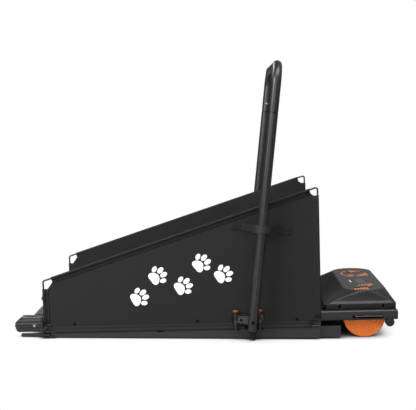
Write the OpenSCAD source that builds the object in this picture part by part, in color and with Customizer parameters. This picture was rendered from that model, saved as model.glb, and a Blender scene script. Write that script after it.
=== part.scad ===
// Dog treadmill: sloping belt deck between two cloth side panels, motor hood at the front
// and a folding tube handle. +X points to the motor end, +Z up, the floor is at Z = 0.

/* [Overall] */
// Length from the rear cap's nose to the front end cap's face
overall_len = 1260; // [1180:2:1330]
// Slope of the running deck, in degrees
incline = 1.6; // [1:0.1:2.2]
// Height of the side panels' lower edge over the floor at mid-length
deck_rise = 34.8; // [33:0.2:40]
// Width over the outer faces of the two side rails
frame_w = 472; // [460:2:500]

/* [Side rails] */
// Width of the rail tube
rail_w = 28; // [26:1:34]
// Height of the rail tube
rail_h = 33; // [31:1:37]
// Wall of the rail tube
rail_wall = 2; // [1.5:0.1:2.6]
// Corner radius on top of the rail tube
rail_round = 9; // [6:0.5:11]
// Height of the rail's underside over the panels' lower edge
rail_low = 15; // [13:0.5:17]
// Length of the finger slot in the outer wall
slot_len = 102; // [80:1:110]
// Height of the finger slot
slot_h = 12; // [9:0.5:14]
// Width of a tube that ties the rails together
cross_w = 30; // [20:1:40]
// Height of a tube that ties the rails together
cross_h = 14; // [11:0.5:16]

/* [Running belt] */
// Width of the running belt
belt_w = 340; // [300:2:344]
// Thickness of the running belt
belt_t = 1.8; // [1.2:0.1:2.4]
// Depth of the belt's top under the rail's top
belt_drop = 4; // [3:0.5:6]
// Radius of the two roller drums
roller_r = 18; // [16:0.5:18.5]
// Wall of a roller drum
roller_wall = 2.5; // [2:0.1:4]
// Radius of the two fixed roller axles
axle_r = 6; // [5:0.5:7]
// Thickness of the deck board
deck_t = 12; // [9:0.5:14]
// Thickness of the rubber pads under the deck board
cushion_t = 3; // [2:0.5:4]

/* [Rear caps] */
// Length of a rear cap
cap_len = 91; // [84:1:98]
// Height of a rear cap's top over the rail's top
cap_over = 2; // [1:0.5:4]
// Depth of a rear cap's underside under the panels' lower edge
cap_under = 2.5; // [1:0.5:6]
// Distance between the ribs on a rear cap
rib_pitch = 10.6; // [9:0.2:12]

/* [Wheels] */
// Radius of the large front wheels
wheel_r = 69; // [64:0.5:74]
// Thickness of the large front wheels
wheel_t = 20; // [14:0.5:21]
// Distance of the large wheels' axle from the front end
wheel_inset = 104.5; // [98:0.5:112]
// Radius of the small tilting wheels
caster_r = 15; // [12:0.5:16]

/* [Motor hood] */
// Length of the hood at its foot
hood_len = 235; // [222:1:240]
// Width of the hood at its foot
hood_w = 440; // [434:1:446]
// Height of the hood's upright skirt
skirt_h = 18; // [14:0.5:22]
// Height of the hood's top over the rail's top
hood_h = 58.5; // [54:0.5:64]
// Wall of the hood
hood_wall = 2.5; // [2:0.1:3]
// Width of the flat hood top along the machine
top_len = 143; // [130:1:150]
// Set-in of the console top from each side of the hood
top_side = 14; // [10:0.5:20]

/* [Handle] */
// Radius of the handle tube
tube_r = 15; // [13:0.5:16]
// Wall of the handle tube
tube_wall = 1.5; // [1.2:0.1:2]
// Distance from one post's axis to the other's
post_gap = 554; // [546:1:580]
// Distance from the pivot to the crossbar's axis
handle_len = 824; // [700:2:900]
// Distance from the pivot to the seam under the handle top
seam_at = 673; // [600:1:690]
// Lean of the handle towards the front, in degrees
handle_lean = 5.2; // [3:0.1:8]
// Bend radius of the handle top
handle_bend = 60; // [45:1:80]

/* [Side panels] */
// Length of a side panel along its lower edge
panel_len = 900; // [860:2:904]
// Height of a side panel at the rear
panel_rear_h = 170; // [140:2:220]
// Height of a side panel at the front
panel_front_h = 455; // [380:1:520]
// Radius of the panel's wire
wire_r = 2.8; // [2.2:0.1:3.2]
// Thickness of the panel cloth
cloth_t = 1.2; // [0.8:0.1:1.4]
// Width of the hem behind the wire
hem_w = 16; // [12:0.5:20]
// Length of wire that shows at each cut-off corner
corner_cut = 27; // [22:0.5:32]
// Width of the webbing strap
strap_w = 26; // [20:1:32]

/* [Hidden] */
$fn = 64;
hull_fn = 32;
over = 1;
fit = 0.3;
run_fit = 0.06;
seat = 0.1;

rail_out = frame_w / 2;
rail_in = rail_out - rail_w;
rail_top = rail_low + rail_h;
rail_mid = rail_low + rail_h / 2;
front_u = overall_len / 2;
rear_u = -overall_len / 2;
cap_front_u = rear_u + cap_len;

function world_x(u, h) = deck_shift + u * cos(incline) - h * sin(incline);
function world_z(u, h) = deck_rise + u * sin(incline) + h * cos(incline);
function floor_h(u) = -(deck_rise + u * sin(incline)) / cos(incline);

belt_top = rail_top - belt_drop;
drum_over = 4;
drum_len = belt_w + drum_over;
loop_in = roller_r + fit;
loop_out = loop_in + belt_t;
roller_h = belt_top - loop_out;
rear_roller_inset = 65;
front_roller_inset = 218;
rear_roller_u = rear_u + rear_roller_inset;
front_roller_u = front_u - front_roller_inset;
bearing_w = 10;
bearing_r = roller_r - roller_wall - seat;

roller_pulley_r = 25;
motor_pulley_r = 11;
drive_belt_t = 2.5;
drive_clear = 4;
drive_reach = roller_pulley_r + drive_belt_t + drive_clear;

deck_gap = 0.4;
deck_top = belt_top - belt_t - deck_gap;
deck_low = deck_top - deck_t;
deck_rear_u = cap_front_u + fit;
deck_front_u = front_roller_u - drive_reach;
deck_w = 2 * (rail_in - fit);
cross_top = deck_low - cushion_t;
cross_low = cross_top - cross_h;
cross_wall = 2;
cross_shares = [0.08, 0.36, 0.64, 0.92];
cushion_len = 40;
cushion_y_shares = [-0.3, 0.3];

foot_rail_lap = 4;
foot_rail_over = 1.2;
foot_rail_t = 3;
foot_rail_in = belt_w / 2 - foot_rail_lap;
foot_rail_low = belt_top + foot_rail_over;
foot_lip_in = belt_w / 2 + foot_rail_lap;
foot_rib = 0.8;
foot_rib_w = 3;
foot_rib_pitch = 7;

cap_top = rail_top + cap_over;
cap_low = -cap_under;
cap_wall = 2;
cap_out = rail_out + cap_wall;
cap_lap = 14;
cap_in = rail_in - cap_lap;
cap_nose_r = 20;
cap_nose_len = 30;
cap_brow_r = 14;
cap_brow_back = 25;
cap_corner_r = 22;
cap_skin = 2.5;
rib_w = 5;
rib_first = 5;
rail_rear_u = rear_u + cap_nose_len;
tension_r = 3;
tension_head_r = 5.5;
tension_head_t = 5;
tension_bore_r = 8;
tension_seat_t = 6;
tension_seat_u = rail_rear_u - tension_seat_t;

wheel_u = front_u - wheel_inset;
wheel_h = floor_h(wheel_u) + wheel_r / cos(incline);
wheel_clear = 4;
wheel_out = rail_in - wheel_clear;
wheel_in = wheel_out - wheel_t;
wheel_axle_r = 6;
wheel_clip_r = 9;
wheel_clip_t = 3;
wheel_plate_half = 16;
wheel_plate_rim = 4;
wheel_edge_r = 3;
wheel_hub_r = 17;
wheel_ring_shares = [0.42, 0.6, 0.78];
wheel_ring_w = 3;
wheel_ring_d = 1.2;

end_cap_len = 12;
rail_front_u = front_u - end_cap_len;
caster_inset = 25;
caster_u = front_u - caster_inset;
caster_drop = 10;
caster_h = rail_low - caster_drop;
caster_t = 13;
caster_pin_r = 3;
caster_clear = 2;
caster_groove_r = 1.5;
caster_groove_share = 0.68;
fork_cheek_r = 11.5;
fork_cheek_t = 4;
fork_out = rail_out - rail_wall - fit;
fork_in = rail_in + rail_wall + fit;
fork_rear_u = caster_u - caster_r - caster_clear;
fork_round = 5;
deck_shift = (cap_low + cap_nose_r + rail_low + fork_round) / 2 * sin(incline);

slot_inset = 97;
slot_u = front_u - slot_inset;
slot_rise = 12;
slot_mid = rail_low + slot_rise;
slot_bar_r = 2;
slot_ball_r = 4;
slot_bar_y = rail_out - rail_wall - slot_ball_r - fit;

hood_back = 2;
hood_rear_u = front_u - hood_back - hood_len;
hood_front_u = hood_rear_u + hood_len;
hood_low = rail_top;
hood_edge = hood_low + skirt_h;
hood_top = rail_top + hood_h;
hood_corner_r = 10;
hood_flare_r = 40;
hood_flare_shares = [[0, 0], [0.22, 0.46], [0.52, 0.78]];
top_back = 67;
top_u = hood_rear_u + top_back + top_len / 2;
top_w = hood_w - 2 * top_side;
top_end_over = 4;
top_end_r = top_len / 2 + top_end_over;
top_end_y = top_w / 2 - top_end_r;
top_edge_r = 4;
top_steps = 3;
slab_t = 0.2;
plate_inset = 5;
plate_t = 3;
ledge_inset = 13;
ledge_t = 3;
well_r = 4.8;
well_wall = 2;
well_floor = 3;
well_in = 4.2;
well_y = hood_w / 2 - well_in;
well_shares = [0.215, 0.817];

display_len = 106;
display_w = 37;
display_y = -44;
lens_t = 1.2;
lens_proud = 0.3;
key_proud = 1.4;
key_flange = 2;
key_flange_t = 2;
key_dish_share = 4;
start_key_r = 14;
speed_key_r = 10;
start_key_y = 118;
speed_key_y = -140;
speed_key_off = 20;

bay_cross_w = 10;
bay_cross_u = front_roller_u + drive_reach;
front_cross_w = 14;
front_cross_inset = 30;
front_cross_u = front_u - front_cross_inset;
bay_cross_h = 16;
bay_cross_rise = 1;
bay_cross_low = rail_low + bay_cross_rise;
front_cross_h = 15;
front_cross_drop = 9;
front_cross_low = rail_low - front_cross_drop;
tray_t = 2.5;
tray_clear = 17;
tray_lip = 8;
tray_half = wheel_in - tray_clear;
tray_top = front_cross_low;
tray_rear_u = bay_cross_u + bay_cross_w;
panel_plate_t = 5;
panel_plate_u = front_cross_u + front_cross_w;

motor_r = 36;
motor_len = 130;
motor_back = 16;
motor_u = wheel_u - motor_back;
motor_flange_t = 6;
motor_flange_step = 3;
cradle_t = 4;
cradle_len = 90;
cradle_w = 62;
motor_h = tray_top + cradle_t + motor_r;
pulley_w = 8;
pulley_gap = 2;
pulley_in = drum_len / 2 + pulley_gap;
pulley_groove = 1;
pulley_ribs = 4;
motor_gap = 9;
motor_out = pulley_in - motor_gap;
motor_in = motor_out - motor_len;
shaft_r = 5;
flywheel_r = 33;
flywheel_t = 14;
flywheel_gap = 2;
spigot_len = 12;
box_len = 46;
box_w = 120;
box_h = 48;
box_fins = 7;
box_fin_h = 8;
box_gap = 4;
box_side_gap = 16;

inlet_w = 30;
inlet_h = 24;
inlet_y = 96;
inlet_mid = rail_mid;
inlet_face = 2;
inlet_body = 22;
socket_w = 24;
socket_h = 16;
socket_d = 15;
blade_w = 2;
blade_h = 4;
blade_d = 12;
blade_pitch = 7;
rocker_y = 52;
rocker_r = 9.5;
rocker_w = 14;
rocker_face = 6;
rocker_tip_share = 0.8;
rocker_pin_r = 1.5;
rocker_pin_len = 2;

wire_off = 2.2;
wire_y = rail_out + wire_r + wire_off;
wire_bend = 6.5;
wire_gap = 2;
wire_slim = 0.05;
sleeve_t = 1.1;
sleeve_in = wire_r + fit;
sleeve_out = sleeve_in + sleeve_t;
cloth_y = rail_out + fit;
panel_gap = 15;
panel_u0 = cap_front_u + panel_gap;
panel_u1 = panel_u0 + panel_len;
panel_front_lean = 2.5;
corner_nib = 13;
hem_lift = 0.2;
panel_points = [[panel_u0, 0], [panel_u1, 0],
                [panel_u1 - panel_front_lean, panel_front_h], [panel_u0, panel_rear_h]];

pivot_share = 0.7556;
pivot_u = panel_u0 + pivot_share * panel_len;
pivot_rise = 13;
pivot_h = rail_low + pivot_rise;
post_y = post_gap / 2;
post_tail = 31;
pivot_r = 4;
pivot_head_r = 5.5;
pivot_head_t = 4;
pivot_boss_r = 10;
spigot_r = tube_r - tube_wall - seat;
seam_gap = 2.4;
spigot_half = 58;
spigot_bore_r = 9;
plug_top = 26;
plug_flange = 3;
button_r = 4;
button_over = 30.5;
button_at = seam_at + button_over;
button_base_t = 2;
button_base_lip = 1;
button_dome_share = 1.25;
button_seat = 2;
button_proud = 3;

window_back = 62;
window_ahead = 36;
window_u0 = pivot_u - window_back;
window_u1 = pivot_u + window_ahead;
window_low = 7;
window_drop = 5;
window_top = rail_top - window_drop;
clamp_offs = [-54.5, 23.5];
clamp_us = [for (off = clamp_offs) pivot_u + off];
pad_side = 9;
pad_gap = 3;
pad_u0 = clamp_us[0] + pad_side;
pad_u1 = clamp_us[1] - pad_side;
pad_low = rail_low + pad_gap;
pad_top = window_top - pad_gap;
bracket_y = cloth_y + 2 * cloth_t + 2 * sleeve_out;
bracket_t = 5;
bracket_end_r = (pad_top - pad_low) / 2;
bracket_screw_off = -37;
stop_r = 3;
stop_down = 24;
stop_back = stop_down * tan(handle_lean + incline)
  + (tube_r + stop_r + fit) / cos(handle_lean + incline);
stop_len = post_y - bracket_y;
leg_w = 20;
foot_r = 9;
foot_taper = 1.5;
foot_t = 8;
leg_flange_t = 4;

clamp_off = 10;
clamp_y = cloth_y + 2 * cloth_t + clamp_off;
stud_r = 3.2;
knob_r = 8.8;
knob_t = 3.8;
knob_rise = 7.8;
knob_low = rail_top + knob_rise;
hub_r = 4.6;
hub_len = 9.6;
knob_lobes = 8;
lobe_r = 1.6;
lug_r = 5.4;
lug_h = 7;
boss_low = pad_low;
boss_top = pad_top;
jaw_top = -sleeve_out - fit;
jaw_t = 4.5;
jaw_half = 9;
jaw_out = 8;
rear_knob_r = 4.6;
rear_knob_t = 4;
rear_knob_rise = 1.6;
rear_knob_low = rail_top + rear_knob_rise;
rear_hub_r = 3.9;
rear_clamp_u = panel_u0 - sleeve_out - rear_knob_r - fit;
rear_clamp_back = 3;
rear_clamp_y = clamp_y - rear_clamp_back;
rear_boss_r = 4.6;
rear_jaw_reach = 26;

skirt_plate_t = 3;
skirt_hang_in = 6;
skirt_hang_y = rail_out - skirt_hang_in;
skirt_plate_off = 4;
skirt_plate_y = rail_out + skirt_plate_off;
skirt_step_h = -sleeve_out - fit - skirt_plate_t;
skirt_clear = 3.9;
skirt_tilt = 0.23;
skirt_front_drop = 18;
skirt_front_top = rail_low - skirt_front_drop;
skirt_tail_inset = 23;
skirt_tail_h = 13;
skirt_tail_round = 5;
jaw_gap = 1;
tie_slot_share = 0.42;
tie_slot_w = 21;
tie_slot_h = 4.5;
skirt_lap = 4;
skirt_rear_u = panel_u0 + skirt_lap;
skirt_wheel_gap = 12;
skirt_front_u = wheel_u - wheel_r - skirt_wheel_gap;
rear_foot_len = 36;
rear_foot_lead = 6;
rear_foot_w = 13;
rear_foot_share = 0.6;
rear_foot_h = rear_foot_share * world_z(skirt_rear_u, skirt_step_h);

screw_r = 2;
screw_head_r = 4.4;
screw_head_t = 2.6;
screw_grip = 5;
panel_screw_shares = [0.107, 0.556, 0.917];
screw_top_share = 0.7;
panel_screw_rise = 9;
panel_screw_h = rail_low + panel_screw_rise;
cap_screw_drop = 3;
cap_screw_h = roller_h - cap_screw_drop;
cap_screw_back = 21;

strap_t = 2;
strap_gap = 4.5;
strap_left = 95;
strap_right = 98;
strap_flat = 36;
strap_rest = cloth_y + 2 * cloth_t + seat;
strap_turn = handle_lean + incline;
strap_edge_h = panel_rear_h + (panel_front_h - panel_rear_h)
  * (pivot_u - strap_left - panel_u0) / (panel_len - panel_front_lean);
strap_at = (strap_edge_h - strap_gap - strap_w / 2 - strap_left * sin(strap_turn) - pivot_h)
  / cos(strap_turn);

// Frames and small helpers

// Places children given along the deck, across it and square to it
module on_deck() {
  translate([deck_shift, 0, deck_rise]) rotate([0, -incline, 0]) children();
}

// Places children given from the handle's pivot, with Z along the posts
module on_handle() {
  translate([world_x(pivot_u, pivot_h), 0, world_z(pivot_u, pivot_h)])
    rotate([0, handle_lean, 0]) children();
}

// Keeps children on the left side, or mirrors them to the right
module side(s) {
  if (s > 0) children();
  else mirror([0, 1, 0]) children();
}

module both_sides() {
  for (s = [1, -1]) side(s) children();
}

// A flat shape in the length and height plane, given thickness across the machine
module upright(y0, t) {
  translate([0, y0 + t, 0]) rotate([90, 0, 0]) linear_extrude(t) children();
}

// A round bar across the machine
module bar_across(u, h, y0, len, r) {
  translate([u, y0, h]) rotate([-90, 0, 0]) cylinder(r = r, h = len);
}

// A round bar along the machine
module bar_along(u0, y, h, len, r) {
  translate([u0, y, h]) rotate([0, 90, 0]) cylinder(r = r, h = len);
}

// A box from its lowest corner to its highest
module block(low, high) {
  translate(low) cube(high - low);
}

module round_rect(w, h, r) {
  hull() for (x = [r, w - r], y = [r, h - r]) translate([x, y]) circle(r = r, $fn = hull_fn);
}

function unit(v) = v / norm(v);
function left_of(d) = [-d.y, d.x];
function turn(d, e) = atan2(d.x * e.y - d.y * e.x, d.x * e.x + d.y * e.y);

// A round rod along flat points with round bends, drawn in the XY plane.
// A bend may be a little slimmer than the rod, and then it runs a little way into it.
module rod_path(points, bend, r, slim = 0) {
  last = len(points) - 1;
  lap = acos(1 - slim / (2 * bend));
  trims = [for (i = [0:last]) i == 0 || i == last ? 0 :
    bend * tan(turn(unit(points[i] - points[i - 1]), unit(points[i + 1] - points[i])) / 2)];
  for (i = [0:last - 1]) {
    d = unit(points[i + 1] - points[i]);
    start = points[i] + d * trims[i];
    run = norm(points[i + 1] - points[i]) - trims[i] - trims[i + 1];
    translate([start.x, start.y, 0]) rotate([0, 0, atan2(d.y, d.x)]) rotate([0, 90, 0])
      cylinder(r = r, h = run);
  }
  for (i = [1:last - 1]) {
    d = unit(points[i] - points[i - 1]);
    e = unit(points[i + 1] - points[i]);
    centre = points[i] - d * trims[i] + left_of(d) * bend;
    translate([centre.x, centre.y, 0]) rotate([0, 0, atan2(-d.x, d.y) - lap])
      rotate_extrude(angle = turn(d, e) + 2 * lap) translate([bend, 0]) circle(r = r - slim);
  }
}

// Side rails and what ties them

module rail_section(w, h, r) {
  hull() {
    for (y = [r, w - r]) translate([y, h - r]) circle(r = r, $fn = hull_fn);
    for (y = [r / 2, w - r / 2]) translate([y, r / 2]) circle(r = r / 2, $fn = hull_fn);
  }
}

module rail_tube(u0, u1) {
  translate([u0, rail_in, rail_low]) rotate([90, 0, 90]) linear_extrude(u1 - u0) difference() {
    rail_section(rail_w, rail_h, rail_round);
    translate([rail_wall, rail_wall])
      rail_section(rail_w - 2 * rail_wall, rail_h - 2 * rail_wall, rail_round - rail_wall);
  }
}

module side_rail(s) {
  color("#3d3e40") on_deck() side(s) difference() {
    rail_tube(rail_rear_u, rail_front_u);
    finger_slot();
    rear_axle_slot();
    bar_across(front_roller_u, roller_h, rail_in - over, rail_w / 2, axle_r + seat);
    rail_screw_holes();
    block([fork_rear_u, rail_in + rail_wall, rail_low - over],
          [rail_front_u + over, rail_out - rail_wall, rail_low + rail_round]);
  }
}

module finger_slot() {
  for (e = [-1, 1])
    bar_across(slot_u + e * (slot_len - slot_h) / 2, slot_mid, rail_out - rail_wall - over,
               rail_wall + 2 * over, slot_h / 2);
  block([slot_u - (slot_len - slot_h) / 2, rail_out - rail_wall - over, slot_mid - slot_h / 2],
        [slot_u + (slot_len - slot_h) / 2, rail_out + over, slot_mid + slot_h / 2]);
}

module rear_axle_slot() {
  block([rail_rear_u - over, rail_in - over, roller_h - axle_r - seat],
        [rear_roller_u + axle_r + seat, rail_in + rail_wall + rail_round / 2, roller_h + axle_r + seat]);
}

module rail_screw_holes() {
  bar_across(cap_front_u - cap_screw_back, cap_screw_h, rail_out - rail_w / 2, rail_w, screw_r + seat);
  for (share = panel_screw_shares)
    bar_across(panel_u0 + share * panel_len, panel_screw_h, rail_out - rail_w / 2, rail_w,
               screw_r + seat);
  bar_across(pivot_u + bracket_screw_off, pivot_h, rail_out - rail_w / 2, rail_w, screw_r + seat);
  bar_across(pivot_u, pivot_h, rail_out - rail_w / 2, rail_w, pivot_r + seat);
  for (share = well_shares)
    translate([hood_rear_u + share * hood_len, well_y, rail_top - rail_h / 2])
      cylinder(r = screw_r + seat, h = rail_h);
}

module cross_tube(u, w, low, h) {
  difference() {
    block([u, -rail_in, low], [u + w, rail_in, low + h]);
    block([u + cross_wall, -rail_in - over, low + cross_wall],
          [u + w - cross_wall, rail_in + over, low + h - cross_wall]);
  }
}

function cross_u(share) = deck_rear_u + share * (deck_front_u - deck_rear_u) - cross_w / 2;

module cross_tubes() {
  color("#2d2d2e") on_deck() {
    for (share = cross_shares) cross_tube(cross_u(share), cross_w, cross_low, cross_h);
    cross_tube(bay_cross_u, bay_cross_w, bay_cross_low, bay_cross_h);
    cross_tube(front_cross_u, front_cross_w, front_cross_low, front_cross_h);
  }
}

// Deck, belt and rollers

module deck_board() {
  color("#4a3a2c") on_deck()
    block([deck_rear_u, -deck_w / 2, deck_low], [deck_front_u, deck_w / 2, deck_top]);
}

module deck_cushions() {
  color("#151515") on_deck() for (share = cross_shares, y = cushion_y_shares)
    translate([cross_u(share) + cross_w / 2, y * deck_w, cross_top])
      translate([-cross_w / 2, -cushion_len / 2, 0]) cube([cross_w, cushion_len, cushion_t]);
}

module belt_loop(r) {
  hull() for (u = [rear_roller_u, front_roller_u]) translate([u, roller_h]) circle(r = r, $fn = 96);
}

module running_belt() {
  color("#262626") on_deck() upright(-belt_w / 2, belt_w) difference() {
    belt_loop(loop_out);
    belt_loop(loop_in);
  }
}

module foot_rails() {
  color("#1f1f20") on_deck() both_sides() {
    translate([deck_rear_u, 0, 0]) rotate([90, 0, 90]) linear_extrude(deck_front_u - deck_rear_u) {
      translate([foot_rail_in, foot_rail_low])
        square([rail_in - fit - foot_rail_in, foot_rail_t]);
      translate([foot_lip_in, deck_top + seat])
        square([rail_in - fit - foot_lip_in, foot_rail_low - deck_top]);
      for (y = [foot_lip_in:foot_rib_pitch:rail_in - foot_rib_pitch])
        translate([y, foot_rail_low]) square([foot_rib_w, foot_rail_t + foot_rib]);
    }
  }
}

module roller_drum(u) {
  difference() {
    bar_across(u, roller_h, -drum_len / 2, drum_len, roller_r);
    bar_across(u, roller_h, -drum_len / 2 - over, drum_len + 2 * over, roller_r - roller_wall);
  }
}

module roller_bearing(u, y0) {
  groove_mid = (bearing_r + axle_r) / 2;
  groove_w = (bearing_r - axle_r) / 3;
  groove_d = bearing_w / 8;
  translate([u, y0, roller_h]) rotate([-90, 0, 0]) rotate_extrude() difference() {
    translate([axle_r + run_fit, 0]) square([bearing_r - axle_r - run_fit, bearing_w]);
    translate([groove_mid - groove_w / 2, -over]) square([groove_w, over + groove_d]);
    translate([groove_mid - groove_w / 2, bearing_w - groove_d]) square([groove_w, over + groove_d]);
  }
}

module rear_roller() {
  color("#9a9b9d") on_deck() roller_drum(rear_roller_u);
}

module front_roller() {
  color("#9a9b9d") on_deck() roller_drum(front_roller_u);
}

module rear_bearings() {
  color("#b9babd") on_deck() for (y = [-drum_len / 2, drum_len / 2 - bearing_w])
    roller_bearing(rear_roller_u, y);
}

module front_bearings() {
  color("#b9babd") on_deck()
    for (y = [-drum_len / 2, drum_len / 2 - spigot_len - bearing_w - fit])
      roller_bearing(front_roller_u, y);
}

module roller_axle(u, reach, cross_hole) {
  difference() {
    bar_across(u, roller_h, -reach, 2 * reach, axle_r);
    if (cross_hole)
      for (s = [-1, 1]) bar_along(u - axle_r - over, s * (rail_out - rail_w / 2), roller_h,
                                  2 * (axle_r + over), tension_r + seat);
  }
}

module rear_axle() {
  color("#a8a9ab") on_deck() roller_axle(rear_roller_u, rail_out - 2 * rail_wall - fit, true);
}

module front_axle() {
  color("#a8a9ab") on_deck() roller_axle(front_roller_u, rail_in + rail_w / 4, false);
}

// Rear caps and belt tension

module cap_side(inset) {
  hull() {
    translate([rear_u + cap_nose_r, cap_low + cap_nose_r]) circle(r = cap_nose_r - inset);
    translate([rear_u + cap_brow_back + cap_brow_r, cap_top - cap_brow_r])
      circle(r = cap_brow_r - inset);
    translate([rear_u + cap_brow_back, cap_low + inset])
      square([cap_len - cap_brow_back, cap_top - cap_low - 2 * inset]);
  }
}

module cap_plan(inset) {
  translate([rear_u + cap_corner_r, cap_out - cap_corner_r]) circle(r = cap_corner_r - inset);
  translate([rear_u + inset, cap_in])
    square([cap_corner_r, cap_out - cap_corner_r - cap_in]);
  translate([rear_u + cap_corner_r, cap_in])
    square([cap_len - cap_corner_r, cap_out - inset - cap_in]);
}

module cap_form(inset) {
  intersection() {
    upright(cap_in, cap_out - cap_in) cap_side(inset);
    translate([0, 0, cap_low]) linear_extrude(cap_top - cap_low) cap_plan(inset);
  }
}

module rear_caps() {
  bolt_y = rail_out - rail_w / 2;
  color("#2b2b2c") on_deck() both_sides() difference() {
    union() {
      cap_form(cap_skin);
      intersection() {
        cap_form(0);
        union() {
          for (i = [-1, 0, 1])
            block([rear_u - over, cap_in - over, roller_h + rib_first + i * rib_pitch - rib_w / 2],
                  [cap_front_u + over, cap_out + over,
                   roller_h + rib_first + i * rib_pitch + rib_w / 2]);
          bar_across(cap_front_u - cap_screw_back, cap_screw_h, cap_in, cap_out - cap_in + over,
                     tension_bore_r);
        }
      }
    }
    block([rail_rear_u - fit, rail_in - fit, rail_low - fit],
          [cap_front_u + over, rail_out + fit, rail_top + fit]);
    block([rear_roller_u - axle_r - fit, cap_in - over, roller_h - axle_r - fit],
          [cap_front_u + over, rail_in, roller_h + axle_r + fit]);
    bar_along(rear_u - over, bolt_y, roller_h, cap_len, tension_r + seat);
    bar_along(rear_u - over, bolt_y, roller_h, tension_seat_u - rear_u + over, tension_bore_r);
    bar_across(cap_front_u - cap_screw_back, cap_screw_h, rail_out, rail_w, screw_r + seat);
  }
}

module tension_bolts() {
  head_u = tension_seat_u - seat - tension_head_t;
  color("#c4c5c7") on_deck() both_sides() {
    bar_along(head_u, rail_out - rail_w / 2, roller_h, rear_roller_u + 2 * axle_r - head_u, tension_r);
    translate([head_u, rail_out - rail_w / 2, roller_h]) rotate([0, 90, 0])
      cylinder(r = tension_head_r, h = tension_head_t, $fn = 6);
  }
}

// Motor and drive

module pulley_profile(r, y0) {
  pitch = pulley_w / pulley_ribs;
  translate([0, y0]) polygon(concat([[0, 0]],
    [for (i = [0:pulley_ribs - 1]) each [[r, i * pitch], [r - pulley_groove, (i + 0.5) * pitch]]],
    [[r, pulley_w], [0, pulley_w]]));
}

module roller_pulley() {
  color("#6d6e70") on_deck() difference() {
    union() {
      translate([front_roller_u, 0, roller_h]) rotate([-90, 0, 0])
        rotate_extrude() pulley_profile(roller_pulley_r, pulley_in);
      bar_across(front_roller_u, roller_h, drum_len / 2 - spigot_len,
                 pulley_in - drum_len / 2 + spigot_len + over, bearing_r);
    }
    bar_across(front_roller_u, roller_h, 0, belt_w, axle_r + over);
  }
}

module drive_loop(add) {
  hull() {
    translate([front_roller_u, roller_h]) circle(r = roller_pulley_r + add);
    translate([motor_u, motor_h]) circle(r = motor_pulley_r + add);
  }
}

module drive_belt() {
  color("#1b1b1b") on_deck() upright(pulley_in + seat, pulley_w - 2 * seat) difference() {
    drive_loop(fit + drive_belt_t);
    drive_loop(fit);
  }
}

module motor_body() {
  flange_r = motor_r - motor_flange_step;
  color("#55565a") on_deck() difference() {
    union() {
      bar_across(motor_u, motor_h, motor_in, motor_len, flange_r);
      bar_across(motor_u, motor_h, motor_in + motor_flange_t, motor_len - 2 * motor_flange_t, motor_r);
    }
    bar_across(motor_u, motor_h, motor_in - over, motor_len + 2 * over, shaft_r + run_fit);
  }
}

module motor_cradle() {
  mid = (motor_in + motor_out) / 2;
  saddle_top = motor_h - motor_r / 2;
  color("#3a3b3d") on_deck() difference() {
    union() {
      block([motor_u - cradle_w / 2, mid - cradle_len / 2, tray_top],
            [motor_u + cradle_w / 2, mid + cradle_len / 2, tray_top + cradle_t - fit]);
      for (e = [-1, 1])
        block([motor_u - cradle_w / 2, mid + e * cradle_len / 2 - cradle_t, tray_top],
              [motor_u + cradle_w / 2, mid + e * cradle_len / 2 + cradle_t, saddle_top]);
    }
    bar_across(motor_u, motor_h, motor_in, motor_len, motor_r + fit);
  }
}

module motor_rotor() {
  fly_y = motor_in - flywheel_t - flywheel_gap;
  color("#8e8f92") on_deck() {
    bar_across(motor_u, motor_h, fly_y, pulley_in + pulley_w - fly_y, shaft_r);
    translate([motor_u, 0, motor_h]) rotate([-90, 0, 0])
      rotate_extrude() pulley_profile(motor_pulley_r, pulley_in);
    bar_across(motor_u, motor_h, fly_y, flywheel_t, flywheel_r);
  }
}

module control_box() {
  u0 = front_cross_u - box_len - box_gap;
  y0 = -tray_half + box_side_gap;
  fin_pitch = box_w / box_fins;
  color("#747679") on_deck() {
    block([u0, y0, tray_top], [u0 + box_len, y0 + box_w, tray_top + box_h]);
    for (i = [0:box_fins - 1])
      block([u0, y0 + i * fin_pitch, tray_top + box_h - over],
            [u0 + box_len, y0 + i * fin_pitch + fin_pitch / 3, tray_top + box_h + box_fin_h]);
  }
}

module motor_tray() {
  color("#29292a") on_deck() {
    block([tray_rear_u, -tray_half, tray_top - tray_t], [panel_plate_u, tray_half, tray_top]);
    block([tray_rear_u, -tray_half, tray_top - tray_t],
          [tray_rear_u + tray_t, tray_half, bay_cross_low + bay_cross_h - over]);
    for (s = [-1, 1])
      block([tray_rear_u, s * tray_half - tray_t / 2, tray_top - tray_t],
            [front_cross_u - fit, s * tray_half + tray_t / 2, tray_top + tray_lip]);
  }
}

// Motor hood and console

module top_outline(inset) {
  intersection() {
    square([top_len - 2 * inset, top_w], center = true);
    union() {
      square([top_len, 2 * top_end_y], center = true);
      for (e = [-1, 1]) translate([0, e * top_end_y]) circle(r = top_end_r - inset);
    }
  }
}

function between(a, b, share) = a + share * (b - a);

// One level of the hood's flared sides, as a thin slab with round corners
module hood_level(i, inset, low, h) {
  rise = hood_flare_shares[i].x;
  r = hood_corner_r + rise * hood_flare_r;
  half = between(hood_w, top_w, hood_flare_shares[i].y) / 2 - r;
  for (u = [between(hood_rear_u, top_u - top_len / 2, rise) + r,
            between(hood_front_u, top_u + top_len / 2, rise) - r], s = [-1, 1])
    translate([u, s * half, low]) cylinder(r = r - inset, h = h, $fn = hull_fn);
}

function level_h(i, inset) = between(hood_edge, hood_top - top_edge_r, hood_flare_shares[i].x) - inset / 2;

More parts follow.
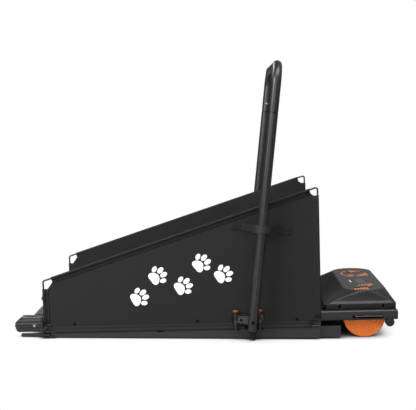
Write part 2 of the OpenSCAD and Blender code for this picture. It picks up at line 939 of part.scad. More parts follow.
module hood_form(inset, low, top) {
  last = len(hood_flare_shares) - 1;
  for (i = [0:last - 1]) hull() {
    if (i == 0) hood_level(0, inset, low, level_h(0, inset) - low);
    else hood_level(i, inset, level_h(i, inset) - slab_t, slab_t);
    hood_level(i + 1, inset, level_h(i + 1, inset) - slab_t, slab_t);
  }
  hull() {
    hood_level(last, inset, level_h(last, inset) - slab_t, slab_t);
    for (i = [0:top_steps]) {
      a = 90 * i / top_steps;
      translate([top_u, 0, top - top_edge_r + top_edge_r * sin(a) - slab_t])
        linear_extrude(slab_t) top_outline(inset + top_edge_r * (1 - cos(a)), $fn = 96);
    }
  }
}

module motor_hood() {
  color("#4c4d4f") on_deck() difference() {
    union() {
      difference() {
        hood_form(0, hood_low, hood_top);
        hood_form(hood_wall, hood_low - over, hood_top - hood_wall);
      }
      translate([top_u, 0, hood_top - plate_t - ledge_t])
        linear_extrude(ledge_t + seat) difference() {
          top_outline(hood_wall / 2);
          top_outline(ledge_inset);
        }
      intersection() {
        hood_level(0, 0, hood_low, skirt_h);
        hood_wells(well_r + well_wall, hood_low, skirt_h);
      }
    }
    translate([top_u, 0, hood_top - plate_t]) linear_extrude(plate_t + over) top_outline(plate_inset);
    hood_wells(well_r, hood_low + well_floor, skirt_h - 2 * well_floor);
    hood_wells(screw_r + seat, hood_low - over, skirt_h);
  }
}

// Upright wells in the hood's skirt, where screws go down into the rails
module hood_wells(r, low, h) {
  for (share = well_shares) both_sides()
    translate([hood_rear_u + share * hood_len, well_y, low]) cylinder(r = r, h = h);
}

module key_places() {
  translate([top_u, start_key_y, 0]) children(0);
  for (e = [-1, 1]) translate([top_u + e * speed_key_off, speed_key_y, 0]) children(1);
}

module console_plate() {
  plate_low = hood_top - plate_t;
  color("#3a3b3e") on_deck() difference() {
    translate([top_u, 0, plate_low]) linear_extrude(plate_t) top_outline(plate_inset + fit);
    translate([0, 0, plate_low - over]) key_places() {
      cylinder(r = start_key_r + fit, h = plate_t + 2 * over);
      cylinder(r = speed_key_r + fit, h = plate_t + 2 * over);
    }
    translate([top_u, display_y, hood_top - lens_t + over / 2])
      cube([display_w + 2 * seat, display_len + 2 * seat, 2 * lens_t + over - 2 * lens_proud],
           center = true);
  }
}

module display_lens() {
  lens_low = hood_top + lens_proud - lens_t;
  color("#8a8c94") on_deck() translate([top_u, display_y, lens_low])
    translate([-display_w / 2, -display_len / 2, 0]) cube([display_w, display_len, lens_t]);
}

module key_form(r) {
  dish_r = key_dish_share * r;
  difference() {
    union() {
      translate([0, 0, hood_top - plate_t - fit]) cylinder(r = r, h = plate_t + fit + key_proud);
      translate([0, 0, hood_top - plate_t - fit - key_flange_t])
        cylinder(r = r + key_flange, h = key_flange_t);
    }
    translate([0, 0, hood_top + key_proud + dish_r - key_proud / 2]) sphere(r = dish_r);
  }
}

module key_start() {
  color("#d9722e") on_deck() translate([top_u, start_key_y, 0]) key_form(start_key_r);
}

module speed_key(e) {
  color("#d9722e") on_deck() translate([top_u + e * speed_key_off, speed_key_y, 0])
    key_form(speed_key_r);
}

// Front panel with the power inlet and the rocker switch

module front_panel() {
  rocker_bay_w = rocker_w + 2 * fit;
  color("#2c2c2d") on_deck() difference() {
    block([panel_plate_u, -rail_in + fit, tray_top - tray_t],
          [panel_plate_u + panel_plate_t, rail_in - fit, rail_top - fit]);
    block([panel_plate_u - over, inlet_y - inlet_w / 2 + inlet_face, inlet_mid - inlet_h / 2 + inlet_face],
          [panel_plate_u + panel_plate_t + over, inlet_y + inlet_w / 2 - inlet_face,
           inlet_mid + inlet_h / 2 - inlet_face]);
    block([panel_plate_u - over, rocker_y - rocker_bay_w / 2, inlet_mid - rocker_r - fit],
          [panel_plate_u + panel_plate_t + over, rocker_y + rocker_bay_w / 2, inlet_mid + rocker_r + fit]);
    bar_across(panel_plate_u + panel_plate_t / 2, inlet_mid,
               rocker_y - rocker_bay_w / 2 - rocker_pin_len,
               rocker_bay_w + 2 * rocker_pin_len, rocker_pin_r + run_fit);
  }
}

module power_inlet() {
  face_u = panel_plate_u + panel_plate_t;
  trim = inlet_face + fit;
  color("#18181a") on_deck() {
    difference() {
      union() {
        block([face_u, inlet_y - inlet_w / 2, inlet_mid - inlet_h / 2],
              [face_u + inlet_face, inlet_y + inlet_w / 2, inlet_mid + inlet_h / 2]);
        block([face_u - inlet_body + panel_plate_t, inlet_y - inlet_w / 2 + trim,
               inlet_mid - inlet_h / 2 + trim],
              [face_u + over, inlet_y + inlet_w / 2 - trim, inlet_mid + inlet_h / 2 - trim]);
      }
      block([face_u + inlet_face - socket_d, inlet_y - socket_w / 2, inlet_mid - socket_h / 2],
            [face_u + inlet_face + over, inlet_y + socket_w / 2, inlet_mid + socket_h / 2]);
    }
    for (e = [-1, 0, 1])
      translate([face_u + inlet_face - socket_d - over, inlet_y + e * blade_pitch - blade_w / 2,
                 inlet_mid - blade_h / 2 + (1 - abs(e)) * blade_h / 2])
        cube([blade_d, blade_w, blade_h]);
  }
}

module power_rocker() {
  tip = rocker_r + over;
  color("#c8372b") on_deck() translate([panel_plate_u + panel_plate_t / 2, 0, inlet_mid]) {
    translate([0, rocker_y - rocker_w / 2, 0]) rotate([-90, 0, 0]) linear_extrude(rocker_w)
      intersection() {
        circle(r = rocker_r);
        polygon([[-rocker_face / 2, -tip], [rocker_face, -tip], [rocker_face / 2, 0],
                 [rocker_face * rocker_tip_share, tip], [-rocker_face / 2, tip]]);
      }
    for (e = [-1, 1])
      translate([0, rocker_y + e * rocker_w / 2, 0]) rotate([e > 0 ? -90 : 90, 0, 0])
        translate([0, 0, -over]) cylinder(r = rocker_pin_r, h = rocker_pin_len + over);
  }
}

// Forks and wheels

// End cap, plug in the rail, and two cheeks that hold the small wheel
module rail_forks() {
  plug_w = fork_out - fork_in;
  color("#2a2a2b") on_deck() both_sides() difference() {
    union() {
      intersection() {
        translate([rail_front_u, rail_in, rail_low]) rotate([90, 0, 90]) linear_extrude(end_cap_len)
          rail_section(rail_w, rail_h, rail_round);
        upright(rail_in - over, rail_w + 2 * over)
          translate([rail_front_u - fork_round, rail_low])
            round_rect(end_cap_len + fork_round, rail_h, fork_round);
      }
      translate([fork_rear_u, fork_in, rail_low + rail_wall + fit]) rotate([90, 0, 90])
        linear_extrude(rail_front_u - fork_rear_u + over)
          rail_section(plug_w, rail_h - 2 * (rail_wall + fit), rail_round - rail_wall);
      for (y = [fork_in, fork_out - fork_cheek_t]) upright(y, fork_cheek_t) {
        translate([caster_u, caster_h]) circle(r = fork_cheek_r);
        translate([caster_u - fork_cheek_r, caster_h])
          square([2 * fork_cheek_r, rail_mid - caster_h]);
      }
    }
    bar_across(caster_u, caster_h, fork_in + fork_cheek_t, plug_w - 2 * fork_cheek_t,
               caster_r + caster_clear);
    bar_across(caster_u, caster_h, rail_in - over, rail_w + 2 * over, caster_pin_r + seat);
  }
}

// The fork's locking bar, seen through the rail's slot
module slot_bars() {
  ball_u = slot_u - (slot_len - slot_h) / 2 + 2 * slot_ball_r;
  color("#b4b5b7") on_deck() both_sides() {
    bar_along(ball_u, slot_bar_y, slot_mid, fork_rear_u - ball_u, slot_bar_r);
    translate([ball_u, slot_bar_y, slot_mid]) sphere(r = slot_ball_r);
  }
}

module tilt_wheel(s) {
  mid = rail_out - rail_w / 2;
  color("#161616") on_deck() side(s) translate([caster_u, mid - caster_t / 2, caster_h])
    rotate([-90, 0, 0]) rotate_extrude() difference() {
      translate([caster_pin_r + run_fit, 0])
        square([caster_r - caster_pin_r - run_fit, caster_t]);
      for (e = [0, caster_t]) translate([caster_r * caster_groove_share, e]) circle(r = caster_groove_r);
    }
}

module wheel_profile() {
  difference() {
    union() {
      translate([wheel_axle_r + run_fit, 0])
        square([wheel_r - wheel_edge_r - wheel_axle_r - run_fit, wheel_t]);
      translate([wheel_r - 2 * wheel_edge_r, wheel_edge_r])
        square([2 * wheel_edge_r, wheel_t - 2 * wheel_edge_r]);
      for (z = [wheel_edge_r, wheel_t - wheel_edge_r])
        translate([wheel_r - wheel_edge_r, z]) circle(r = wheel_edge_r);
    }
    for (share = wheel_ring_shares, z = [0, wheel_t])
      translate([share * wheel_r - wheel_ring_w / 2, z - wheel_ring_d])
        square([wheel_ring_w, 2 * wheel_ring_d]);
  }
}

module front_wheel(s) {
  color("#d9722e") on_deck() side(s) translate([wheel_u, wheel_in, wheel_h]) rotate([-90, 0, 0])
    rotate_extrude($fn = 128) wheel_profile();
}

module wheel_axles() {
  color("#b5b6b8") on_deck() both_sides() {
    bar_across(wheel_u, wheel_h, wheel_in - fit - wheel_clip_t,
               rail_in - wheel_in + wheel_clip_t + fit, wheel_axle_r);
    bar_across(wheel_u, wheel_h, wheel_in - fit - wheel_clip_t, wheel_clip_t, wheel_clip_r);
    block([wheel_u - wheel_plate_half, wheel_out + fit, wheel_h - wheel_axle_r - wheel_plate_rim],
          [wheel_u + wheel_plate_half, rail_in, rail_top - rail_round]);
    bar_across(caster_u, caster_h, rail_in + rail_wall, rail_w - 2 * rail_wall, caster_pin_r);
  }
}

// Skirts and feet

// Hangs from the rail, steps out under the panel's hem and goes down almost to the floor
module base_skirts() {
  low = floor_h(skirt_front_u);
  hang = skirt_hang_y - skirt_plate_t;
  end_u = panel_u0 + panel_len;
  step_top = skirt_step_h + skirt_plate_t;
  color("#333335") both_sides() difference() {
    union() {
      on_deck() {
        block([skirt_rear_u, hang, low], [end_u, skirt_hang_y, rail_low]);
        block([end_u - over, hang, low], [skirt_front_u, skirt_hang_y, skirt_front_top]);
        block([skirt_rear_u, hang, skirt_step_h], [end_u, skirt_plate_y, step_top]);
        block([skirt_rear_u, skirt_plate_y - skirt_plate_t, low], [end_u, skirt_plate_y, step_top]);
      }
      skirt_tail(hang);
    }
    on_deck() skirt_notches();
    translate([0, 0, skirt_clear]) rotate([0, -skirt_tilt, 0])
      block([-overall_len, 0, -overall_len], [overall_len, frame_w, 0]);
  }
}

// The low end of the base plate, under the rear cap
module skirt_tail(hang) {
  x0 = world_x(rear_u, 0) + skirt_tail_inset;
  upright(hang + seat, skirt_plate_t - 2 * seat) translate([x0, 0])
    round_rect(world_x(skirt_rear_u, 0) + skirt_lap - x0, skirt_tail_h, skirt_tail_round);
}

// Room for the clamp jaws, and a slot for a tie
module skirt_notches() {
  low = jaw_top - jaw_t - fit;
  tie_u = panel_u0 + tie_slot_share * panel_len;
  for (u = clamp_us)
    block([u - jaw_half - jaw_gap, skirt_hang_y, low], [u + jaw_half + jaw_gap, frame_w, rail_low]);
  block([skirt_rear_u - over, skirt_hang_y, low],
        [rear_clamp_u + rear_jaw_reach + jaw_gap, frame_w, rail_low]);
  block([tie_u - tie_slot_w / 2, skirt_hang_y, skirt_step_h + skirt_plate_t - tie_slot_h],
        [tie_u + tie_slot_w / 2, frame_w, rail_low]);
}

module rear_foot() {
  mid = skirt_plate_y - skirt_plate_t / 2;
  x0 = world_x(skirt_rear_u, 0) - rear_foot_lead;
  difference() {
    block([x0, mid - rear_foot_w / 2, 0], [x0 + rear_foot_len, mid + rear_foot_w / 2, rear_foot_h]);
    block([x0 + rear_foot_lead - seat, skirt_plate_y - skirt_plate_t - seat,
           skirt_clear + x0 * tan(skirt_tilt) - seat],
          [x0 + rear_foot_len + over, skirt_plate_y + seat, rear_foot_h + over]);
  }
}

module bracket_foot() {
  difference() {
    translate([world_x(pivot_u, 0), bracket_y + bracket_t / 2, 0])
      cylinder(r1 = foot_r, r2 = foot_r - foot_taper, h = foot_t + over);
    on_deck() block([pivot_u - leg_w, 0, floor_h(pivot_u) + foot_t],
                    [pivot_u + leg_w, frame_w, rail_top]);
  }
}

module floor_feet() {
  color("#121212") both_sides() {
    rear_foot();
    bracket_foot();
  }
}

// Handle brackets, thumb-screws and clamp jaws

module bracket_plate_outline() {
  hull() {
    translate([pivot_u + bracket_screw_off, pivot_h]) circle(r = bracket_end_r);
    translate([pivot_u, pivot_h]) circle(r = bracket_end_r);
  }
  translate([pivot_u - stop_back, pivot_h - stop_down]) circle(r = 2 * stop_r);
  translate([pivot_u - stop_back - 2 * stop_r, pivot_h - stop_down]) square([4 * stop_r, stop_down]);
}

module handle_bracket(s) {
  plate_y = bracket_y + bracket_t;
  leg_low = floor_h(pivot_u) + foot_t;
  color("#2f3032") on_deck() side(s) difference() {
    union() {
      block([pad_u0, rail_out, pad_low], [pad_u1, bracket_y + over, pad_top]);
      upright(bracket_y, bracket_t) bracket_plate_outline();
      bar_across(pivot_u, pivot_h, bracket_y, post_y - tube_r - fit - bracket_y, pivot_boss_r);
      bar_across(pivot_u - stop_back, pivot_h - stop_down, bracket_y, stop_len, stop_r);
      block([pivot_u - leg_w / 2, bracket_y, leg_low], [pivot_u + leg_w / 2, plate_y, pad_low + over]);
      block([pivot_u - leg_w / 2, bracket_y + bracket_t / 2 - foot_r, leg_low],
            [pivot_u + leg_w / 2, bracket_y + bracket_t / 2 + foot_r, leg_low + leg_flange_t]);
      for (u = clamp_us) {
        translate([u, clamp_y, boss_low]) cylinder(r = lug_r, h = lug_h);
        block([min(u, pad_u1 - over), clamp_y - 2 * lug_r, boss_low],
              [max(u, pad_u0 + over), clamp_y, boss_low + lug_h]);
      }
    }
    for (u = clamp_us) translate([u, clamp_y, boss_low - over])
        cylinder(r = stud_r + run_fit, h = lug_h + 2 * over);
    bar_across(pivot_u, pivot_h, rail_out - over, post_y, pivot_r + seat);
    bar_across(pivot_u + bracket_screw_off, pivot_h, rail_out - over, post_y, screw_r + seat);
  }
}

module clamp_jaw(u0, u1, hole_u, hole_y) {
  difference() {
    block([u0, rail_out + fit, jaw_top - jaw_t], [u1, hole_y + jaw_out, jaw_top]);
    translate([hole_u, hole_y, jaw_top - jaw_t - over])
      cylinder(r = stud_r + run_fit, h = jaw_t + 2 * over);
  }
}

module rear_clamp_block() {
  difference() {
    union() {
      translate([rear_clamp_u, rear_clamp_y, boss_low])
        cylinder(r = rear_boss_r, h = boss_top - boss_low);
      block([rear_clamp_u - rear_boss_r, rail_out, boss_low],
            [rear_clamp_u + rear_boss_r, rear_clamp_y, boss_top]);
    }
    translate([rear_clamp_u, rear_clamp_y, boss_low - over])
      cylinder(r = stud_r + run_fit, h = boss_top - boss_low + 2 * over);
  }
}

module clamp_blocks() {
  color("#2a2a2b") on_deck() both_sides() {
    rear_clamp_block();
    for (u = clamp_us) clamp_jaw(u - jaw_half, u + jaw_half, u, clamp_y);
    clamp_jaw(rear_clamp_u - jaw_half, rear_clamp_u + rear_jaw_reach, rear_clamp_u, rear_clamp_y);
  }
}

// A lobed head on a hub and a stud; the head is r wide and t thick, and its underside is at low
module thumb_screw(s, u, y, r, low, t, hub, hub_low) {
  stud_low = jaw_top - jaw_t;
  color("#d9722e") on_deck() side(s) translate([u, y, 0]) {
    translate([0, 0, stud_low]) cylinder(r = stud_r, h = low - stud_low + over);
    translate([0, 0, hub_low]) cylinder(r = hub, h = low - hub_low + over);
    difference() {
      translate([0, 0, low]) cylinder(r = r, h = t);
      for (i = [0:knob_lobes - 1]) rotate([0, 0, i * 360 / knob_lobes])
        translate([r + lobe_r / 2, 0, low - over]) cylinder(r = lobe_r, h = t + 2 * over);
    }
  }
}

module rear_screw(s) {
  thumb_screw(s, rear_clamp_u, rear_clamp_y, rear_knob_r, rear_knob_low, rear_knob_t, rear_hub_r,
              boss_top + fit);
}

module bracket_screw(s, u) {
  thumb_screw(s, u, clamp_y, knob_r, knob_low, knob_t, hub_r, knob_low - hub_len);
}

// Side panels

module in_panel_plane(y) {
  translate([0, y, 0]) rotate([90, 0, 0]) children();
}

// The wire's two ends meet inside the lower hem
module panel_wires() {
  mid = (panel_points[0] + panel_points[1]) / 2;
  end = [wire_gap / 2, 0];
  ring = concat([mid + end], [for (i = [1:4]) panel_points[i % 4]], [mid - end]);
  color("#1c1c1d") on_deck() both_sides() in_panel_plane(wire_y)
    rod_path(ring, wire_bend, wire_r, wire_slim);
}

function edge_dir(i) = unit(panel_points[(i + 1) % 4] - panel_points[i]);

module cloth_outline() {
  polygon([for (i = [0:3]) let (d = edge_dir((i + 3) % 4), e = edge_dir(i), p = panel_points[i])
    each [p - d * corner_cut + left_of(d) * hem_w / 2,
          p - d * corner_cut + left_of(d) * corner_nib,
          p + e * corner_cut + left_of(e) * corner_nib,
          p + e * corner_cut + left_of(e) * hem_w / 2]]);
}

module panel_window() {
  translate([window_u0, window_low]) square([window_u1 - window_u0, window_top - window_low]);
}

// One hem: the cloth goes round the wire and is sewn down on itself
module hem(i) {
  d = edge_dir(i);
  run = norm(panel_points[(i + 1) % 4] - panel_points[i]) - 2 * (corner_cut + over);
  start = panel_points[i] + d * (corner_cut + over);
  translate([start.x, start.y, 0]) rotate([0, 0, atan2(d.y, d.x)]) rotate([90, 0, 90])
    linear_extrude(run) difference() {
      union() {
        circle(r = sleeve_out);
        translate([0, wire_y - cloth_y - 2 * cloth_t]) square([hem_w, 2 * cloth_t - hem_lift]);
      }
      circle(r = sleeve_in);
    }
}

module panel_cloth(s) {
  color("#34353a") on_deck() side(s) difference() {
    union() {
      upright(cloth_y, cloth_t) cloth_outline();
      in_panel_plane(wire_y) for (i = [0:3]) hem(i);
    }
    upright(cloth_y - over, 2 * cloth_t + 2 * over) panel_window();
    for (share = panel_screw_shares)
      bar_across(panel_u0 + share * panel_len, panel_screw_h, cloth_y - over, rail_w, screw_r + seat);
  }
}

// Webbing that ties each post to its panel

module strap_line(a, b) {
  d = b - a;
  translate(a) rotate(atan2(d.y, d.x)) translate([0, -strap_t / 2]) square([norm(d), strap_t]);
}

module panel_straps() {
  ring = tube_r + fit;
  rest = strap_rest + strap_t / 2;
  mid_r = ring + strap_t / 2;
  left_foot = [-strap_left + strap_flat, rest];
  right_foot = [strap_right - strap_flat, rest];
  color("#1e1e1f") both_sides() on_handle() translate([0, 0, strap_at - strap_w / 2])
    linear_extrude(strap_w) difference() {
      union() {
        translate([0, post_y]) intersection() {
          difference() {
            circle(r = ring + strap_t);
            circle(r = ring);
          }
          translate([-2 * ring, 0]) square([4 * ring, 2 * ring]);
        }
        strap_line([-mid_r, post_y + over], left_foot);
        strap_line([mid_r, post_y + over], right_foot);
        translate([-strap_left, strap_rest]) square([strap_flat, strap_t]);
        translate([strap_right - strap_flat, strap_rest]) square([strap_flat, strap_t]);
      }
      translate([0, post_y]) circle(r = ring);
      translate([-strap_left, 0]) square([strap_left + strap_right, strap_rest]);
    }
}

// Handle

module pivot_bolts() {
  color("#1a1a1b") on_deck() both_sides() {
    bar_across(pivot_u, pivot_h, rail_out - screw_grip, post_y + tube_r + screw_grip + over - rail_out,
               pivot_r);
    bar_across(pivot_u, pivot_h, post_y + tube_r + fit, pivot_head_t, pivot_head_r);
  }
}

module handle_posts() {
  color("#3b3c3e") both_sides() on_handle() translate([0, post_y, 0]) difference() {
    translate([0, 0, -post_tail]) cylinder(r = tube_r, h = post_tail + seam_at);
    translate([0, 0, -post_tail - over])
      cylinder(r = tube_r - tube_wall, h = post_tail + seam_at + 2 * over);
    bar_across(0, 0, -tube_r - over, 2 * (tube_r + over), pivot_r + run_fit);
  }
}

module handle_top() {
  low = seam_at + seam_gap;
  ends = [[post_y, low], [post_y, handle_len], [-post_y, handle_len], [-post_y, low]];
  bores = [[post_y, low - over], [post_y, handle_len], [-post_y, handle_len], [-post_y, low - over]];
  color("#3b3c3e") on_handle() difference() {
    rotate([90, 0, 90]) rod_path(ends, handle_bend, tube_r);
    rotate([90, 0, 90]) rod_path(bores, handle_bend, tube_r - tube_wall);
    for (s = [-1, 1]) side(s)
      bar_across(0, button_at, post_y - tube_r - over, tube_r, button_r + run_fit);
  }
}

module tube_inserts() {
  color("#141414") both_sides() on_handle() translate([0, post_y, 0]) {
    difference() {
      union() {
        translate([0, 0, -post_tail]) cylinder(r = spigot_r, h = post_tail + plug_top);
        translate([0, 0, -post_tail - plug_flange]) cylinder(r = tube_r, h = plug_flange - seat);
        translate([0, 0, -post_tail - plug_flange]) cylinder(r = spigot_r, h = plug_flange + over);
      }
      bar_across(0, 0, -tube_r - over, 2 * (tube_r + over), pivot_r + run_fit);
    }
    difference() {
      translate([0, 0, seam_at - spigot_half]) cylinder(r = spigot_r, h = 2 * spigot_half);
      translate([0, 0, seam_at - spigot_half - over])
        cylinder(r = spigot_bore_r, h = 2 * (spigot_half + over));
      bar_across(0, button_at, -tube_r, tube_r, button_r + run_fit);
    }
  }
}

module snap_button(s) {
  tail = spigot_bore_r - button_seat;
  dome = button_r * button_dome_share;
  color("#c9cacc") side(s) on_handle() translate([0, post_y, button_at]) {
    intersection() {
      bar_across(0, 0, -tube_r - button_proud, tube_r + button_proud - tail + over, button_r);
      translate([0, -tube_r - button_proud + dome, 0]) union() {
        sphere(r = dome);
        bar_across(0, 0, 0, tube_r, button_r + over);
      }
    }
    bar_across(0, 0, -tail, button_base_t, button_r + button_base_lip);
  }
}

// Screws that hold the panels, brackets, hood and rear caps

module pan_screw(grip) {
  translate([0, 0, -grip]) cylinder(r = screw_r, h = grip + over);
  cylinder(r1 = screw_head_r, r2 = screw_head_r * screw_top_share, h = screw_head_t);
}

module screw_across(u, h, y, grip) {
  translate([u, y, h]) rotate([-90, 0, 0]) pan_screw(grip);
}

module fixing_screws() {
  color("#8d8e90") on_deck() both_sides() {
    for (share = panel_screw_shares)
      screw_across(panel_u0 + share * panel_len, panel_screw_h, cloth_y + cloth_t + seat, screw_grip);
    screw_across(pivot_u + bracket_screw_off, pivot_h, bracket_y + bracket_t,
                 bracket_y + bracket_t - rail_out + screw_grip);
    for (share = well_shares)
      translate([hood_rear_u + share * hood_len, well_y, hood_low + well_floor])
        pan_screw(well_floor + screw_grip);
    screw_across(cap_front_u - cap_screw_back, cap_screw_h, cap_out, screw_grip);
  }
}

side_rail(1);  // side_rail_left
side_rail(-1);  // side_rail_right
cross_tubes();
deck_board();
deck_cushions();
running_belt();
foot_rails();
rear_caps();
tension_bolts();
rear_axle();
rear_roller();
rear_bearings();
front_axle();
front_roller();
front_bearings();
roller_pulley();
drive_belt();
motor_body();
motor_cradle();
motor_rotor();
control_box();
motor_tray();
front_panel();
motor_hood();
console_plate();
display_lens();
key_start();
speed_key(1);  // key_faster
speed_key(-1);  // key_slower
power_inlet();
power_rocker();
rail_forks();
tilt_wheel(1);  // tilt_wheel_left
tilt_wheel(-1);  // tilt_wheel_right
slot_bars();
front_wheel(1);  // front_wheel_left
front_wheel(-1);  // front_wheel_right
wheel_axles();
base_skirts();
floor_feet();
handle_bracket(1);  // handle_bracket_left
handle_bracket(-1);  // handle_bracket_right
clamp_blocks();
rear_screw(1);  // thumb_screw_left_rear
bracket_screw(1, clamp_us[0]);  // thumb_screw_left_mid
bracket_screw(1, clamp_us[1]);  // thumb_screw_left_front
rear_screw(-1);  // thumb_screw_right_rear
bracket_screw(-1, clamp_us[0]);  // thumb_screw_right_mid
bracket_screw(-1, clamp_us[1]);  // thumb_screw_right_front
panel_wires();
panel_cloth(1);  // panel_cloth_left
panel_cloth(-1);  // panel_cloth_right
panel_straps();
pivot_bolts();
handle_posts();
handle_top();
tube_inserts();
snap_button(1);  // snap_button_left
snap_button(-1);  // snap_button_right
fixing_screws();
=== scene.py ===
import math
from types import SimpleNamespace

import bmesh
import bpy
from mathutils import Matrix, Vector


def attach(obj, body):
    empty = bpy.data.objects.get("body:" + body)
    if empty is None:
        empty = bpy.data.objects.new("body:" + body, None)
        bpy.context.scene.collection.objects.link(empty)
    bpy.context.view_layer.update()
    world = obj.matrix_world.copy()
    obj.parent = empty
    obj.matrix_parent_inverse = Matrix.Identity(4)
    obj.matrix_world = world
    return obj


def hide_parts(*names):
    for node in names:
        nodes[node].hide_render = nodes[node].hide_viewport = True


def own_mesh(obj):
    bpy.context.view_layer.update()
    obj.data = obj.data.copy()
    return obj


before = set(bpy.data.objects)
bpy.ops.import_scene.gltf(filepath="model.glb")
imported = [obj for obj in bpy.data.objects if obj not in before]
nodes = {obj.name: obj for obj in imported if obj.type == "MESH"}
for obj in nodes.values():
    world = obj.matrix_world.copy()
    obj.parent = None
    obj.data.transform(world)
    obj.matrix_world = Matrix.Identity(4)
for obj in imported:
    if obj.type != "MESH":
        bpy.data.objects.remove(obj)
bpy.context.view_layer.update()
scene = bpy.context.scene
scene.view_settings.view_transform = "Standard"
print("frame loaded:", len(nodes), "CAD nodes")

mm = 0.001
bothSides = (("left", 1), ("right", -1))  # the machine's sides and the sign of their y

# the deck slopes up to the motor end: u runs along it, h is square to it, y is across the machine
deck = {"slope": math.radians(1.6), "rise": 0.0348, "shift": 0.000524}


def onDeck(u, y, h):
    s, c = math.sin(deck["slope"]), math.cos(deck["slope"])
    return Vector((deck["shift"] + u * c - h * s, y, deck["rise"] + u * s + h * c))


# camera fitted to the deck's edges, the panels' corners and the handle
view = {"place": (0.0704, -3.030, 0.751), "down": 6.333, "left": 1.2285,  # both turns in degrees
        "lens": 75.46, "sensor": 36}
camData = bpy.data.cameras.new("camera")
camData.lens = view["lens"]
camData.sensor_width = view["sensor"]
camera = bpy.data.objects.new("camera", camData)
camera.location = view["place"]
camera.rotation_euler = (math.radians(90 - view["down"]), 0, math.radians(view["left"]))
scene.collection.objects.link(camera)
scene.camera = camera
print("camera placed")


def linear(hexText):
    def lift(c):
        return c / 12.92 if c <= 0.04045 else ((c + 0.055) / 1.055) ** 2.4
    return tuple(lift(int(hexText[i:i + 2], 16) / 255) for i in (1, 3, 5)) + (1.0,)


def addNode(tree, kind, inputs=None, **settings):
    node = tree.nodes.new(kind)
    for name, value in settings.items():
        setattr(node, name, value)
    for name, value in (inputs or {}).items():
        socket = node.inputs[name]
        if isinstance(value, bpy.types.NodeSocket):
            tree.links.new(value, socket)
        else:
            socket.default_value = value
    return node


colourA, colourB, colourOut = 6, 7, 2  # where a Mix node keeps its colour sockets
waveScale = 2 / math.tau  # over a spacing in metres, gives the scale of a wave texture


def newFinish(name, sockets):
    material = bpy.data.materials.new(name)
    material.use_nodes = True
    tree = material.node_tree
    shader = tree.nodes["Principled BSDF"]
    for socket, value in sockets.items():
        shader.inputs[socket].default_value = value
    place = addNode(tree, "ShaderNodeTexCoord").outputs["Object"]
    return SimpleNamespace(material=material, tree=tree, shader=shader, place=place)


def twoTone(finish, mask, low, high):
    # low where the mask is 0, high where it is 1; each is a hex colour or another node's output
    low, high = (linear(tone) if isinstance(tone, str) else tone for tone in (low, high))
    mix = addNode(finish.tree, "ShaderNodeMix", {"Factor": mask, colourA: low, colourB: high},
                  data_type="RGBA")
    finish.tree.links.new(mix.outputs[colourOut], finish.shader.inputs["Base Color"])
    return mix.outputs[colourOut]


def varied(finish, low, high, patch):
    # the colour drifts between two close tones over patches of this width
    noise = addNode(finish.tree, "ShaderNodeTexNoise",
                    {"Vector": finish.place, "Scale": 1 / patch, "Detail": 3.0})
    return twoTone(finish, noise.outputs["Fac"], low, high)


def heightOverDeck(finish):
    # height over the foot of the sloping deck
    axes = addNode(finish.tree, "ShaderNodeSeparateXYZ", {"Vector": finish.place}).outputs
    sums = {0: axes["X"], 1: -math.tan(deck["slope"]), 2: axes["Z"]}
    return addNode(finish.tree, "ShaderNodeMath", sums, operation="MULTIPLY_ADD").outputs[0]


def paintShadeBelow(finish, tone, low, high, least):
    # painted shade: the tone sinks to a share of itself, least, from the height called high down to
    # low
    share = addNode(finish.tree, "ShaderNodeMapRange",
                    {"Value": heightOverDeck(finish), "From Min": low, "From Max": high,
                     "To Min": least, "To Max": 1.0}, interpolation_type="SMOOTHSTEP")
    dim = addNode(finish.tree, "ShaderNodeMix",
                  {"Factor": 1.0, colourA: tone, colourB: share.outputs["Result"]},
                  data_type="RGBA", blend_type="MULTIPLY")
    finish.tree.links.new(dim.outputs[colourOut], finish.shader.inputs["Base Color"])


def grained(finish, grain, depth, roughness, soften=0):
    # bump and roughness from one noise with grains of this width
    # soften rounds the light over edges within this radius
    noise = addNode(finish.tree, "ShaderNodeTexNoise",
                    {"Vector": finish.place, "Scale": 1 / grain, "Detail": 2.0}).outputs["Fac"]
    bump = addNode(finish.tree, "ShaderNodeBump",
                   {"Height": noise, "Distance": depth, "Strength": 1.0})
    finish.tree.links.new(bump.outputs["Normal"], finish.shader.inputs["Normal"])
    if soften:
        rounded = addNode(finish.tree, "ShaderNodeBevel", {"Radius": soften}, samples=8)
        finish.tree.links.new(rounded.outputs["Normal"], bump.inputs["Normal"])
    rough = addNode(finish.tree, "ShaderNodeMapRange",
                    {"Value": noise, "From Min": 0.3, "From Max": 0.7,  # most of the noise
                     "To Min": roughness[0], "To Max": roughness[1]})
    finish.tree.links.new(rough.outputs["Result"], finish.shader.inputs["Roughness"])


def plainFinish(name, sockets, low, high, patch, grain, depth, roughness):
    finish = newFinish(name, sockets)
    varied(finish, low, high, patch)
    grained(finish, grain, depth, roughness)
    return finish


# powder coat on steel: even dark grey, faint orange peel 1.6 mm wide, painted shade towards the
# lower edge
railCoat = newFinish("powder coated steel rail", {"IOR": 1.5})
tone = varied(railCoat, "#1c1c1c", "#212121", 60 * mm)
# painted shade darkens the rail towards its lower edge
paintShadeBelow(railCoat, tone, 50 * mm, 68 * mm, 0.3)
grained(railCoat, 1.6 * mm, 0.04 * mm, (0.3, 0.42))

# powder coat on a drawn tube: smooth, with a long satin highlight
tubeCoat = plainFinish("powder coated handle tube", {"IOR": 1.5}, "#181818", "#1d1d1d", 90 * mm,
                       1.4 * mm, 0.03 * mm, (0.32, 0.4))

# powder coat on sheet steel: duller and a little paler than the rails
skirtCoat = plainFinish("powder coated sheet steel", {"IOR": 1.5}, "#1f1f1f", "#242424", 80 * mm,
                        1.6 * mm, 0.06 * mm, (0.54, 0.66))

# dip coat on spring wire: deep black with soft glints
wireCoat = plainFinish("dip coated spring wire", {"IOR": 1.5}, "#131313", "#191919", 30 * mm,
                       2 * mm, 0.03 * mm, (0.32, 0.44))

